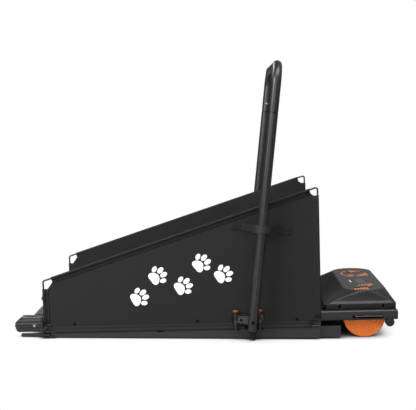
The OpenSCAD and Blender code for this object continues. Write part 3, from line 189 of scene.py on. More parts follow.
# woven polyester: dull black; its threads are 0.6 mm apart, drawn 1.6 mm apart so that they show
clothWeave = newFinish("coated woven polyester",
                       {"Roughness": 0.8, "IOR": 1.5, "Specular IOR Level": 0.25})
varied(clothWeave, "#1b1b1b", "#1e1e1e", 120 * mm)
threads = [addNode(clothWeave.tree, "ShaderNodeTexWave",
                   {"Vector": clothWeave.place, "Scale": waveScale / (1.6 * mm), "Distortion": 0.4,
                    "Detail": 1.0}, bands_direction=axis).outputs["Fac"] for axis in ("X", "Z")]
weave = addNode(clothWeave.tree, "ShaderNodeMath", {0: threads[0], 1: threads[1]},
                operation="MULTIPLY")
bump = addNode(clothWeave.tree, "ShaderNodeBump",
               {"Height": weave.outputs[0], "Distance": 0.12 * mm, "Strength": 0.6})
clothWeave.tree.links.new(bump.outputs["Normal"], clothWeave.shader.inputs["Normal"])

# nylon webbing: slanted ribs 2 mm apart; painted shade makes it near black on the cloth, and over
# the post it keeps its own tone
strapWeave = newFinish("woven nylon webbing",
                       {"Roughness": 0.75, "IOR": 1.5, "Specular IOR Level": 0.3})
tone = varied(strapWeave, "#272725", "#2e2e2b", 10 * mm)
strapShadeEdge = (0.276, 0.288)  # distance from the middle of the machine, from dark to light
axes = addNode(strapWeave.tree, "ShaderNodeSeparateXYZ", {"Vector": strapWeave.place}).outputs
outward = addNode(strapWeave.tree, "ShaderNodeMath", {0: axes["Y"]}, operation="ABSOLUTE")
lift = addNode(strapWeave.tree, "ShaderNodeMapRange",
               {"Value": outward.outputs[0], "From Min": strapShadeEdge[0], "From Max": strapShadeEdge[1]})
# painted shade: the webbing that lies on the cloth is near black
twoTone(strapWeave, lift.outputs["Result"], "#0e0e0d", tone)
ribs = addNode(strapWeave.tree, "ShaderNodeTexWave",
               {"Vector": strapWeave.place, "Scale": waveScale / (2 * mm), "Distortion": 0.6},
               bands_direction="DIAGONAL")
bump = addNode(strapWeave.tree, "ShaderNodeBump",
               {"Height": ribs.outputs["Fac"], "Distance": 0.3 * mm, "Strength": 0.8})
strapWeave.tree.links.new(bump.outputs["Normal"], strapWeave.shader.inputs["Normal"])

# bonded polyester thread: grey stitches that stand out a little from the cloth
threadFinish = newFinish("bonded polyester thread", {"Roughness": 0.6, "IOR": 1.5})
varied(threadFinish, "#303030", "#3a3a3a", 4 * mm)

# bonded black thread: tacks that hardly show on the webbing
seamThread = newFinish("bonded black thread", {"Roughness": 0.6, "IOR": 1.5})
varied(seamThread, "#141414", "#1d1d1d", 4 * mm)

# spark textured ABS: satin black, with painted shade on its lowest band
# its pits are about 0.2 mm wide, drawn 1.1 mm wide so that they show
hoodPlastic = newFinish("spark textured ABS", {"IOR": 1.54, "Specular IOR Level": 0.3})
tone = varied(hoodPlastic, "#1e1e1e", "#242424", 70 * mm)
# painted shade darkens the hood's lowest band
paintShadeBelow(hoodPlastic, tone, 94 * mm, 102 * mm, 0.25)
grained(hoodPlastic, 1.1 * mm, 0.04 * mm, (0.34, 0.44), soften=5 * mm)

# polished ABS: glossier than the hood, with slow ripples 12 mm wide that bend its reflections
consolePlastic = plainFinish("polished ABS console", {"IOR": 1.54}, "#202020", "#252525", 50 * mm,
                             12 * mm, 0.02 * mm, (0.26, 0.34))

# tinted acrylic: clear and glossy, with the dim screen showing through its middle
displayWindow = newFinish("tinted acrylic window", {"IOR": 1.49})
screen = {"X": (0.534, 0.013), "Y": (-0.043, 0.033)}  # middle and half size
axes = addNode(displayWindow.tree, "ShaderNodeSeparateXYZ", {"Vector": displayWindow.place}).outputs
spans = [addNode(displayWindow.tree, "ShaderNodeMath", {0: axes[axis], 1: middle, 2: half},
                 operation="COMPARE").outputs[0] for axis, (middle, half) in screen.items()]
lit = addNode(displayWindow.tree, "ShaderNodeMath", {0: spans[0], 1: spans[1]},
              operation="MULTIPLY")
twoTone(displayWindow, lit.outputs[0], "#222224", "#3f3f49")
grained(displayWindow, 20 * mm, 0.01 * mm, (0.2, 0.28))


def keyFinish(name, spot, bars):
    # moulded ABS key cap: satin, its top printed in orange with bars of these half sizes
    finish = newFinish(name, {"IOR": 1.54})
    tree = finish.tree
    axes = addNode(tree, "ShaderNodeSeparateXYZ", {"Vector": finish.place}).outputs
    marks = []
    for bar in bars:
        spans = [addNode(tree, "ShaderNodeMath", {0: axes[axis], 1: middle, 2: half},
                         operation="COMPARE").outputs[0]
                 for axis, middle, half in zip("XY", spot, bar)]
        mark = addNode(tree, "ShaderNodeMath", {0: spans[0], 1: spans[1]}, operation="MULTIPLY")
        marks.append(mark.outputs[0])
    printed = addNode(tree, "ShaderNodeMath", {0: marks[0], 1: marks[-1]}, operation="MAXIMUM")
    twoTone(finish, printed.outputs[0], "#262626", "#c67c4c")
    grained(finish, 1.2 * mm, 0.03 * mm, (0.34, 0.46))
    return finish


startKey = keyFinish("printed start key", (0.529, 0.118), [(0.010, 0.009)])
fasterKey = keyFinish("printed faster key", (0.549, -0.140), [(0.008, 0.0028), (0.0024, 0.0085)])
slowerKey = keyFinish("printed slower key", (0.509, -0.140), [(0.008, 0.0028)])

# moulded nylon, dyed through: matte black with a soft flow pattern
blackNylon = plainFinish("moulded black nylon", {"IOR": 1.53}, "#141414", "#191919", 30 * mm,
                         1.2 * mm, 0.06 * mm, (0.4, 0.54))

# moulded ABS, dyed orange: bright and satin
orangeAbs = plainFinish("moulded orange ABS", {"IOR": 1.54, "Specular IOR Level": 0.3},
                        "#ea752a", "#f28236", 20 * mm, 1.3 * mm, 0.04 * mm, (0.44, 0.56))

# moulded ABS, dyed red: glossier, as switch rockers are
redAbs = plainFinish("moulded red ABS", {"IOR": 1.54}, "#aa2b26", "#b83831", 6 * mm,
                     1.2 * mm, 0.03 * mm, (0.26, 0.36))

# calendered PVC: dull, with a rolled grain about 2 mm wide
beltPvc = newFinish("calendered PVC belt", {"Roughness": 0.62, "IOR": 1.52})
varied(beltPvc, "#191919", "#202020", 50 * mm)
cells = addNode(beltPvc.tree, "ShaderNodeTexVoronoi",
                {"Vector": beltPvc.place, "Scale": 1 / (2.2 * mm)}, feature="F1")
bump = addNode(beltPvc.tree, "ShaderNodeBump",
               {"Height": cells.outputs["Distance"], "Distance": 0.25 * mm, "Strength": 0.8},
               invert=True)
beltPvc.tree.links.new(bump.outputs["Normal"], beltPvc.shader.inputs["Normal"])

# moulded rubber: dull black that scatters what light it gets
softRubber = plainFinish("moulded rubber", {"IOR": 1.52}, "#141414", "#1c1c1c", 10 * mm,
                         1.5 * mm, 0.1 * mm, (0.68, 0.82))

# zinc plate: bluish bright metal with fine turning marks
zincPlate = plainFinish("zinc plated steel", {"Metallic": 1.0}, "#a0a2a5", "#b4b6b8", 6 * mm,
                        0.9 * mm, 0.02 * mm, (0.26, 0.42))

# turned cast iron: darker and duller than the zinc
turnedIron = plainFinish("turned cast iron", {"Metallic": 1.0}, "#707275", "#86888b", 8 * mm,
                         0.8 * mm, 0.04 * mm, (0.36, 0.54))

# enamel on a steel can: smooth dark grey gloss
motorPaint = plainFinish("enamelled motor can", {"IOR": 1.5}, "#37393d", "#404246", 30 * mm,
                         2 * mm, 0.03 * mm, (0.26, 0.36))

# die cast aluminium: pale grey metal, rough from the mould
castAluminium = plainFinish("die cast aluminium", {"Metallic": 1.0}, "#8d8f92", "#a2a4a7", 8 * mm,
                            1 * mm, 0.08 * mm, (0.42, 0.6))

# waxed fibreboard: brown fibres about 1 mm wide
deckBoard = plainFinish("waxed fibreboard", {"IOR": 1.5}, "#50402f", "#6a543f", 4 * mm,
                        1 * mm, 0.05 * mm, (0.42, 0.58))

# screen printed white ink: dense and matte
whiteInk = plainFinish("screen printed white ink", {"IOR": 1.5}, "#f0f0ef", "#f8f8f7", 20 * mm,
                       1.6 * mm, 0.04 * mm, (0.55, 0.7))

# screen printed orange ink: matte, a little uneven
orangeInk = plainFinish("screen printed orange ink", {"IOR": 1.5, "Specular IOR Level": 0.25},
                        "#bd7244", "#cd8450", 8 * mm, 1.2 * mm, 0.02 * mm, (0.44, 0.58))

# black oxide on steel: nearly black metal; only the rear caps' screws are left bright
blackScrew = newFinish("black oxide screw", {"Metallic": 1.0})
brightBehind = -0.55  # the place along the machine behind which screws are bright
axes = addNode(blackScrew.tree, "ShaderNodeSeparateXYZ", {"Vector": blackScrew.place}).outputs
behind = addNode(blackScrew.tree, "ShaderNodeMath", {0: axes["X"], 1: brightBehind},
                 operation="LESS_THAN")
twoTone(blackScrew, behind.outputs[0], "#1c1c1d", "#c4c6c8")
grained(blackScrew, 0.9 * mm, 0.02 * mm, (0.32, 0.46))

# powder coat on a pressed bracket: the tongue in front is painted lighter and glossier as if lit,
# and the lugs behind it are painted near black with their reflections turned down, as shade
bracketCoat = newFinish("powder coated bracket", {"IOR": 1.5})
# painted light on the tongue in front, painted shade on the lugs behind it
litTongue = {"out": 0.254, "half": 0.0075, "over": 0.0525}  # where the tongue is
footHeight = 0.032  # below this the lugs are paler again
tree = bracketCoat.tree
axes = addNode(tree, "ShaderNodeSeparateXYZ", {"Vector": bracketCoat.place}).outputs
outward = addNode(tree, "ShaderNodeMath", {0: axes["Y"]}, operation="ABSOLUTE").outputs[0]
front = addNode(tree, "ShaderNodeMath", {0: outward, 1: litTongue["out"], 2: litTongue["half"]},
                operation="COMPARE")
over = addNode(tree, "ShaderNodeMath", {0: axes["Z"], 1: litTongue["over"]}, operation="GREATER_THAN")
tongue = addNode(tree, "ShaderNodeMath", {0: front.outputs[0], 1: over.outputs[0]},
                 operation="MULTIPLY").outputs[0]
# painted sheen: only the lit tongue keeps its reflections
shine = addNode(tree, "ShaderNodeMapRange", {"Value": tongue, "To Min": 0.08, "To Max": 0.5})
tree.links.new(shine.outputs["Result"], bracketCoat.shader.inputs["Specular IOR Level"])
foot = addNode(tree, "ShaderNodeMath", {0: axes["Z"], 1: footHeight}, operation="LESS_THAN")
# painted shade: the lugs above the foot are near black
tone = twoTone(bracketCoat, foot.outputs[0], "#060606", "#212121")
twoTone(bracketCoat, tongue, tone, "#363636")
grained(bracketCoat, 1.6 * mm, 0.06 * mm, (0.44, 0.58))

# black oxide, darkened further with painted shade inside the deep socket heads and in the tube
# inserts' seam gaps
boltAndGapShade = plainFinish("black oxide pivot bolt in painted shade", {"IOR": 1.5, "Specular IOR Level": 0.1},
                        "#050505", "#0a0a0a", 4 * mm, 0.9 * mm, 0.02 * mm, (0.54, 0.66))

# moulded nylon with ribs: painted light on the rib tops, and painted shade in the grooves between
# them and towards the cap's foot
capNylon = newFinish("ribbed black nylon", {"IOR": 1.53})
ribDepth, ribFoot = (0.2352, 0.2374), (0.036, 0.046)  # groove to rib top, and dark to light upward
tree = capNylon.tree
axes = addNode(tree, "ShaderNodeSeparateXYZ", {"Vector": capNylon.place}).outputs
outward = addNode(tree, "ShaderNodeMath", {0: axes["Y"]}, operation="ABSOLUTE").outputs[0]
ridge = addNode(tree, "ShaderNodeMapRange",
                {"Value": outward, "From Min": ribDepth[0], "From Max": ribDepth[1]})
above = addNode(tree, "ShaderNodeMapRange",
                {"Value": axes["Z"], "From Min": ribFoot[0], "From Max": ribFoot[1]})
# painted light on the rib tops; painted shade in the grooves and low down
ribTopLight = addNode(tree, "ShaderNodeMath", {0: ridge.outputs["Result"], 1: above.outputs["Result"]},
                 operation="MULTIPLY")
twoTone(capNylon, ribTopLight.outputs[0], "#0e0e0e", "#3c3c3c")
grained(capNylon, 1.2 * mm, 0.06 * mm, (0.36, 0.5))


def knobFinish(name, split, orange):
    # moulded orange ABS head on a blackened stud; split is the head's underside, over the deck
    finish = newFinish(name, {"IOR": 1.54})
    above = addNode(finish.tree, "ShaderNodeMath",
                    {0: heightOverDeck(finish), 1: deck["rise"] + split}, operation="GREATER_THAN")
    twoTone(finish, above.outputs[0], "#1b1b1c", orange)
    grained(finish, 1.3 * mm, 0.04 * mm, (0.34, 0.46))
    return finish


sideKnob = knobFinish("orange ABS head on black stud", 0.0551, "#96481f")
# the rear knob's orange head is painted dark red-brown as shade, where it sits between the cap and
# the panel
shadedRearKnob = knobFinish("small orange ABS head in painted shade on black stud", 0.0489, "#5e2818")
print("finishes made")

wear = [
    (railCoat, ["side_rail_left", "side_rail_right", "cross_tubes"]),
    (skirtCoat, ["base_skirts", "motor_tray", "motor_cradle"]),
    (bracketCoat, ["handle_bracket_left", "handle_bracket_right"]),
    (wireCoat, ["panel_wires", "rail_forks", "clamp_blocks"]),
    (boltAndGapShade, ["pivot_bolts", "tube_inserts"]),
    (capNylon, ["rear_caps"]),
    (hoodPlastic, ["motor_hood"]),
    (consolePlastic, ["console_plate"]),
    (displayWindow, ["display_lens"]),
    (blackNylon, ["foot_rails", "front_panel", "power_inlet", "tilt_wheel_left",
                  "tilt_wheel_right"]),
    (orangeAbs, ["front_wheel_left", "front_wheel_right"]),
    (startKey, ["key_start"]),
    (fasterKey, ["key_faster"]),
    (slowerKey, ["key_slower"]),
    (sideKnob, [n for n in nodes if n.startswith("thumb_screw") and not n.endswith("rear")]),
    (shadedRearKnob, ["thumb_screw_left_rear", "thumb_screw_right_rear"]),
    (blackScrew, ["fixing_screws", "wheel_axles"]),
    (redAbs, ["power_rocker"]),
    (beltPvc, ["running_belt"]),
    (softRubber, ["deck_cushions", "floor_feet", "drive_belt"]),
    (zincPlate, ["rear_roller", "front_roller", "rear_axle", "front_axle", "rear_bearings",
                 "front_bearings", "tension_bolts", "slot_bars", "snap_button_left",
                 "snap_button_right"]),
    (turnedIron, ["motor_rotor", "roller_pulley"]),
    (motorPaint, ["motor_body"]),
    (castAluminium, ["control_box"]),
    (deckBoard, ["deck_board"]),
]
for finish, names in wear:
    for name in names:
        nodes[name].data.materials.clear()
        nodes[name].data.materials.append(finish.material)
print("finishes on the CAD nodes")


def meshPiece(name, verts, faces, finish, body="frame", smooth=True):
    mesh = bpy.data.meshes.new(name)
    mesh.from_pydata([tuple(v) for v in verts], [], faces)
    mesh.validate()
    bm = bmesh.new()
    bm.from_mesh(mesh)
    bmesh.ops.recalc_face_normals(bm, faces=bm.faces)
    for face in bm.faces:
        face.smooth = smooth
    bm.to_mesh(mesh)
    bm.free()
    mesh.materials.append(finish.material)
    obj = bpy.data.objects.new(name, mesh)
    scene.collection.objects.link(obj)
    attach(obj, body)
    return obj


# side panels: one flat cloth each, wrapped round its wire on four sides and sewn down
panel = {
    "rearU": -0.524, "frontU": 0.376, "frontLean": 0.0025,
    "rearHeight": 0.170, "frontHeight": 0.455,
    "wireY": 0.241, "innerY": 0.2363, "thick": 0.0012,
    "cut": 0.027, "nib": 0.013,  # how far a cut corner runs along an edge and in from it
    "window": (0.09404, 0.19204, 0.007, 0.043),  # opening at the bracket: u from, to, h from, to
    "cells": (96, 40), "wave": 0.0005, "waveStart": 0.02, "waveFade": 0.08,
    "pulls": [(34, 21, 0, 1), (13, -47, 1.3, 0.6)],  # pull lines: along u, along h, start, share
}
corners = [Vector((panel["rearU"], 0)), Vector((panel["frontU"], 0)),
           Vector((panel["frontU"] - panel["frontLean"], panel["frontHeight"])),
           Vector((panel["rearU"], panel["rearHeight"]))]


def edgeOf(i):
    a, b = corners[i], corners[(i + 1) % 4]
    along = (b - a).normalized()
    return a, b, along, Vector((-along.y, along.x))


def clothWave(u, h):
    # faint pull lines that run from the corners, none at the edges
    edge = min((Vector((u, h)) - edgeOf(i)[0]).dot(edgeOf(i)[3]) for i in range(4))
    fade = min(1.0, max(0.0, (edge - panel["waveStart"]) / panel["waveFade"]))
    pulls = sum(share * math.sin(u * a + h * b + start) for a, b, start, share in panel["pulls"])
    return panel["wave"] * fade * pulls


def makeCloth(name, side, node):
    bm = bmesh.new()
    nu, nh = panel["cells"]
    grid = []
    for j in range(nh + 1):
        row = []
        for i in range(nu + 1):
            low = corners[0].lerp(corners[1], i / nu)
            high = corners[3].lerp(corners[2], i / nu)
            p = low.lerp(high, j / nh)
            row.append(bm.verts.new((p.x, p.y, 0)))
        grid.append(row)
    for j in range(nh):
        for i in range(nu):
            bm.faces.new((grid[j][i], grid[j][i + 1], grid[j + 1][i + 1], grid[j + 1][i]))

    def cutAlong(at, facing, trim=False):
        bmesh.ops.bisect_plane(bm, geom=bm.verts[:] + bm.edges[:] + bm.faces[:], plane_co=at,
                               plane_no=facing, clear_outer=trim)

    for i in range(4):  # cut the corners off
        p, _, e, n = edgeOf(i)
        _, _, d, m = edgeOf((i + 3) % 4)
        a = p + e * panel["cut"] + n * panel["nib"]
        b = p - d * panel["cut"] + m * panel["nib"]
        out = Vector(((b - a).y, -(b - a).x)).normalized()
        if (p - a).dot(out) < 0:
            out = -out
        cutAlong((a.x, a.y, 0), (out.x, out.y, 0), trim=True)
    u0, u1, h0, h1 = panel["window"]
    for u in (u0, u1):
        cutAlong((u, 0, 0), (1, 0, 0))
    for h in (h0, h1):
        cutAlong((0, h, 0), (0, 1, 0))
    middles = [(f, f.calc_center_median()) for f in bm.faces]
    inside = [f for f, c in middles if u0 < c.x < u1 and h0 < c.y < h1]
    bmesh.ops.delete(bm, geom=inside, context="FACES")
    area = sum(f.calc_area() for f in bm.faces)
    for v in bm.verts:
        u, h = v.co.x, v.co.y
        y = panel["innerY"] + panel["thick"] / 2 + abs(clothWave(u, h))
        v.co = onDeck(u, side * y, h)
    for face in bm.faces:
        face.smooth = True
    mesh = bpy.data.meshes.new(name)
    bm.to_mesh(mesh)
    bm.free()
    mesh.materials.append(clothWeave.material)
    obj = bpy.data.objects.new(name, mesh)
    scene.collection.objects.link(obj)
    solid = obj.modifiers.new("thickness", "SOLIDIFY")
    solid.thickness = panel["thick"]
    solid.offset = 0
    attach(obj, "frame")
    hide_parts(node)
    return obj, area


# hem: flat on the cloth, round the wire and back under it
hem = {
    "radius": 0.00365, "half": 0.00055,  # round the wire, and half the cloth's thickness
    "flat": [(0.0165, 0), (0.012, 0), (0.0085, 0.0001), (0.0062, 0.0008)],  # inward, and lift
    "turn": (-20, 262), "turnSteps": 22,  # degrees round the wire
    "tuck": (0.004, 1.3),  # the hidden end: inward, and depth in thicknesses of cloth
    "cell": 0.02, "leastCells": 8,
}


def hemSection():
    # outline of the hem across its edge, as (inward, outward from the wire) points
    r = hem["radius"]
    flatY = panel["innerY"] + 1.5 * panel["thick"] - panel["wireY"]
    line = [(v, flatY + lift) for v, lift in hem["flat"]]
    start, stop = hem["turn"]
    for k in range(hem["turnSteps"] + 1):
        a = math.radians(start + (stop - start) * k / hem["turnSteps"])
        line.append((r * math.cos(a), r * math.sin(a)))
    line.append((hem["tuck"][0], flatY - hem["tuck"][1] * panel["thick"]))
    left, right = [], []
    for k, p in enumerate(line):
        a = Vector(line[max(k - 1, 0)])
        b = Vector(line[min(k + 1, len(line) - 1)])
        d = (b - a).normalized()
        n = Vector((-d.y, d.x)) * hem["half"]
        left.append(Vector(p) + n)
        right.append(Vector(p) - n)
    return left + right[::-1]


def makeHems(name, side):
    section = hemSection()
    size = len(section)
    verts, faces = [], []
    for i in range(4):
        a, b, along, inward = edgeOf(i)
        length = (b - a).length - 2 * panel["cut"]
        count = max(hem["leastCells"], int(length / hem["cell"]))
        base = len(verts)
        for k in range(count + 1):
            p = a + along * (panel["cut"] + length * k / count)
            for v, y in section:
                q = p + inward * v
                verts.append(onDeck(q.x, side * (panel["wireY"] + y), q.y))
        for k in range(count):
            o = base + k * size
            for m in range(size):
                n = (m + 1) % size
                faces.append((o + m, o + n, o + size + n, o + size + m))
        for k in (0, count):  # the open ends of the folded cloth
            ring = [base + k * size + m for m in range(size)]
            for m in range(size // 2 - 1):
                faces.append((ring[m], ring[m + 1], ring[size - 2 - m], ring[size - 1 - m]))
    return meshPiece(name, verts, faces, clothWeave)


stitch = {
    "length": 0.0034, "gap": 0.0020, "width": 0.0008, "rise": 0.0004, "inset": 0.0135,
    "margin": 0.003, "sunk": 0.0004,
    "profile": [(0, 0.3, -0.4), (0.2, 1, 0.7), (0.5, 1, 1), (0.8, 1, 0.7), (1, 0.3, -0.4)],
}  # profile: shares of the length, the width and the rise


def makeStitches(name, side):
    verts, faces = [], []
    top = panel["innerY"] + 2 * panel["thick"]
    step = stitch["length"] + stitch["gap"]
    for i in range(4):
        a, b, along, inward = edgeOf(i)
        length = (b - a).length - 2 * panel["cut"] - 2 * stitch["margin"]
        for k in range(int(length / step)):
            s = panel["cut"] + stitch["margin"] + k * step
            base = len(verts)
            for t, wide, rise in stitch["profile"]:
                middle = a + along * (s + stitch["length"] * t) + inward * stitch["inset"]
                for e in (-1, 1):
                    q = middle + inward * (e * wide * stitch["width"] / 2)
                    verts.append(onDeck(q.x, side * (top - stitch["sunk"]), q.y))
                verts.append(onDeck(middle.x, side * (top + rise * stitch["rise"]), middle.y))
            for m in range(4):
                o = base + 3 * m
                faces += [(o, o + 3, o + 5, o + 2), (o + 2, o + 5, o + 4, o + 1),
                          (o + 1, o + 4, o + 3, o)]
            faces += [(base, base + 2, base + 1), (base + 12, base + 13, base + 14)]
    return meshPiece(name, verts, faces, threadFinish)


# a trail of paw prints in white ink on each panel's outer face
paws = {
    "trail": [(-0.214, 0.106, -62), (-0.152, 0.176, -54), (-0.070, 0.140, -60),
              (-0.008, 0.214, -52), (0.062, 0.176, -58)],  # along, up, turn in degrees
    "heel": (0.0, -0.010, 0.021, 0.0165),  # across, up, half width, half height
    "toes": [(-0.0235, 0.008, 0.0072, 0.0105, 24), (-0.0090, 0.0215, 0.0078, 0.0120, 8),
             (0.0090, 0.0215, 0.0078, 0.0120, -8),
             (0.0235, 0.008, 0.0072, 0.0105, -24)],  # the same, then tilt in degrees
    "heelSpread": 0.26, "heelDent": 0.16, "dentWidth": 30,  # the dent's width in degrees
    "ink": 0.0003, "sunk": 0.0002, "rings": 4, "steps": 40,
}


def padOutline(a, heel):
    # a toe is an oval; the heel is wider below, with a shallow dent at its foot
    if not heel:
        return math.cos(a), math.sin(a)
    spread = 1 - paws["heelSpread"] * math.sin(a)
    dent = paws["heelDent"] * math.exp(-((math.degrees(a) - 270) / paws["dentWidth"]) ** 2)
    return math.cos(a) * spread, math.sin(a) * (1 - dent)


def turned(x, y, angle):
    return x * math.cos(angle) - y * math.sin(angle), x * math.sin(angle) + y * math.cos(angle)


def makePaws(name, side):
    verts, faces = [], []
    top = panel["innerY"] + panel["thick"]
    rings, steps = paws["rings"], paws["steps"]
    layer = rings * steps + 1
    pads = [paws["heel"] + (0, True)] + [toe + (False,) for toe in paws["toes"]]
    for pawU, pawH, heading in paws["trail"]:
        turn = math.radians(heading)

        def addInk(x, y, rise):
            du, dh = turned(x, y, turn)
            u, h = pawU + du, pawH + dh
            verts.append(onDeck(u, side * (top + abs(clothWave(u, h)) + rise), h))

        for x, y, wide, tall, tilt, heel in pads:
            base = len(verts)
            for rise in (paws["ink"], -paws["sunk"]):
                for ring in range(1, rings + 1):
                    for k in range(steps):
                        ox, oy = padOutline(2 * math.pi * k / steps, heel)
                        dx, dy = turned(ox * wide * ring / rings, oy * tall * ring / rings,
                                        math.radians(tilt))
                        addInk(x + dx, y + dy, rise)
                addInk(x, y, rise)
            for o in (base, base + layer):
                for k in range(steps):
                    n = (k + 1) % steps
                    faces.append((o + layer - 1, o + k, o + n))
                    for ring in range(rings - 1):
                        i = o + ring * steps
                        faces.append((i + k, i + steps + k, i + steps + n, i + n))
            rim = base + (rings - 1) * steps
            for k in range(steps):
                n = (k + 1) % steps
                faces.append((rim + k, rim + layer + k, rim + layer + n, rim + n))
    return meshPiece(name, verts, faces, whiteInk, smooth=False)


for label, side in bothSides:
    cloth, area = makeCloth("side_cloth_" + label, side, "panel_cloth_" + label)
    hems = makeHems("side_hems_" + label, side)
    stitches = makeStitches("side_stitches_" + label, side)
    prints = makePaws("paw_trail_" + label, side)
    print("side cloth", label, "area", round(area, 4))

# the folding handle: two posts and a bent top, drawn smooth
handle = {
    "pivot": onDeck(0.15604, 0, 0.028), "lean": math.radians(5.2), "postY": 0.277,
    "radius": 0.015, "wall": 0.0015, "tail": 0.031, "seam": 0.673, "seamGap": 0.0024,
    "straight": 0.72, "length": 0.824, "bend": 0.060,  # heights over the pivot, then a radius
    "sides": 56, "rows": 24, "bendStep": 5, "sharp": 40,  # the last two in degrees
}


def onHandle(a, y, b):
    s, c = math.sin(handle["lean"]), math.cos(handle["lean"])
    return Vector((handle["pivot"].x + a * c + b * s, y, handle["pivot"].z - a * s + b * c))


def across(line, k):
    # unit vector square to a line of points at its point k
    d = Vector(line[min(k + 1, len(line) - 1)]) - Vector(line[max(k - 1, 0)])
    d.normalize()
    return Vector((-d.y, d.x))


def tubeAlong(path, verts, faces, flat):
    # path is (y, b) points in the handle's own plane; flat collects the cut ends' faces
    sides = handle["sides"]
    base = len(verts)
    for r in (handle["radius"], handle["radius"] - handle["wall"]):
        for k, (y, b) in enumerate(path):
            n = across(path, k)
            for m in range(sides):
                a = 2 * math.pi * m / sides
                reach = r * math.cos(a)
                verts.append(onHandle(r * math.sin(a), y + n.x * reach, b + n.y * reach))
    layer = len(path) * sides
    for deep in (0, 1):
        for k in range(len(path) - 1):
            o = base + deep * layer + k * sides
            for m in range(sides):
                n = (m + 1) % sides
                faces.append((o + m, o + n, o + sides + n, o + sides + m))
    for k in (0, len(path) - 1):
        o = base + k * sides
        for m in range(sides):
            n = (m + 1) % sides
            flat.append(len(faces))
            faces.append((o + m, o + n, o + layer + n, o + layer + m))


def tubePiece(name, paths, node):
    verts, faces, flat = [], [], []
    for path in paths:
        tubeAlong(path, verts, faces, flat)
    obj = meshPiece(name, verts, faces, tubeCoat, body="handle")
    for i in flat:
        obj.data.polygons[i].use_smooth = False
    obj.data.set_sharp_from_angle(angle=math.radians(handle["sharp"]))  # cut ends stay crisp
    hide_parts(node)


postY, bend, top = handle["postY"], handle["bend"], handle["length"]
rows = [-handle["tail"] + (handle["seam"] + handle["tail"]) * k / handle["rows"]
        for k in range(handle["rows"] + 1)]
tubePiece("handle_post_tubes", [[(s * postY, b) for b in rows] for s in (-1, 1)], "handle_posts")
half = [(postY, handle["seam"] + handle["seamGap"]), (postY, handle["straight"])]
for degrees in range(0, 91, handle["bendStep"]):
    a = math.radians(degrees)
    half.append((postY - bend + bend * math.cos(a), top - bend + bend * math.sin(a)))
bar = [((postY - bend) * t, top) for t in (0.5, 0, -0.5)]
tubePiece("handle_top_tube", [half + bar + [(-y, b) for y, b in reversed(half)]], "handle_top")
print("handle tubes made")

# webbing straps: sewn to the cloth at both ends, over the post, with a free end on top
strap = {
    "at": 0.30115, "width": 0.026, "thick": 0.0018, "bevel": 0.0009, "restY": 0.2388,
    "left": 0.095, "right": 0.098, "flat": 0.036,  # reach to each side, and sewn length
    "rise": [(-0.012, 0), (-0.004, 0.0004), (0.004, 0.0030)],  # lift where it leaves the cloth
    "postGap": 0.0003, "layerGap": 0.0002, "arcSteps": 16,
    "flapTo": 0.031, "flapLift": 0.0022, "flapSteps": 5, "flapInset": 0.0012,
}


def ribbon(line, verts, faces, side, lowB, highB):
    base = len(verts)
    bevel = strap["bevel"]
    edge = [(lowB, 0), (lowB + bevel, 1), (highB - bevel, 1), (highB, 0), (highB - bevel, -1),
            (lowB + bevel, -1)]
    size = len(edge)
    for k, (a, y) in enumerate(line):
        n = across(line, k) * strap["thick"] / 2
        for b, e in edge:
            verts.append(onHandle(a + n.x * e, side * (y + n.y * e), b))
    for k in range(len(line) - 1):
        o = base + size * k
        for m in range(size):
            n = (m + 1) % size
            faces.append((o + m, o + n, o + size + n, o + size + m))
    last = base + size * (len(line) - 1)
    faces += [tuple(range(base, base + size)), tuple(range(last, last + size))]


def strapArc(r, footL, footR):
    # (a, y) points where a strap pulled tight touches the post, from its left foot to its right one
    postY, rest = handle["postY"], strap["restY"] + strap["thick"] / 2
    turns = []
    for foot, sign in ((footL, -1), (footR, 1)):
        reach = Vector((foot, rest - postY))
        turns.append(math.atan2(reach.y, reach.x) + sign * math.acos(r / reach.length))
    start, stop = turns[0] % (2 * math.pi), turns[1]
    angles = [start + (stop - start) * k / strap["arcSteps"] for k in range(strap["arcSteps"] + 1)]
    return [(r * math.cos(a), postY + r * math.sin(a)) for a in angles]


def makeStrap(name, side):
    verts, faces = [], []
    lowB, highB = strap["at"] - strap["width"] / 2, strap["at"] + strap["width"] / 2
    rest = strap["restY"] + strap["thick"] / 2
    footL, footR = -strap["left"] + strap["flat"], strap["right"] - strap["flat"]
    ring = handle["radius"] + strap["postGap"] + strap["thick"] / 2
    line = [(-strap["left"], rest)]
    line += [(footL + along, rest + lift) for along, lift in strap["rise"]]
    line += strapArc(ring, footL, footR)
    line += [(footR - along, rest + lift) for along, lift in reversed(strap["rise"])]
    line += [(strap["right"], rest)]
    ribbon(line, verts, faces, side, lowB, highB)
    arc = strapArc(ring + strap["thick"] + strap["layerGap"], footL, footR)
    tip = Vector(arc[-1])
    down = (Vector((footR, rest)) - tip).normalized()
    out = Vector((-down.y, down.x)) if down.x > 0 else Vector((down.y, -down.x))
    flap = down * (strap["flapTo"] - tip.x) / down.x
    shares = [k / strap["flapSteps"] for k in range(1, strap["flapSteps"] + 1)]
    free = [tuple(tip + flap * t + out * strap["flapLift"] * t ** 2) for t in shares]
    ribbon(arc[1:] + free, verts, faces, side, lowB + strap["flapInset"],
           highB - strap["flapInset"])
    obj = meshPiece(name, verts, faces, strapWeave, smooth=False)
    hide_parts("panel_straps")
    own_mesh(obj)


# rows of tacks that sew the strap's ends down
tack = {
    "rows": (-0.092, -0.086, -0.080, -0.074, 0.080, 0.086, 0.095), "count": 6, "start": -0.0108,
    "step": 0.0037, "length": 0.0028, "half": 0.0005, "sunk": 0.0005,
    "profile": [(0, -0.0002), (0.25, 0.0004), (0.75, 0.0004), (1, -0.0002)],  # along, and rise
}


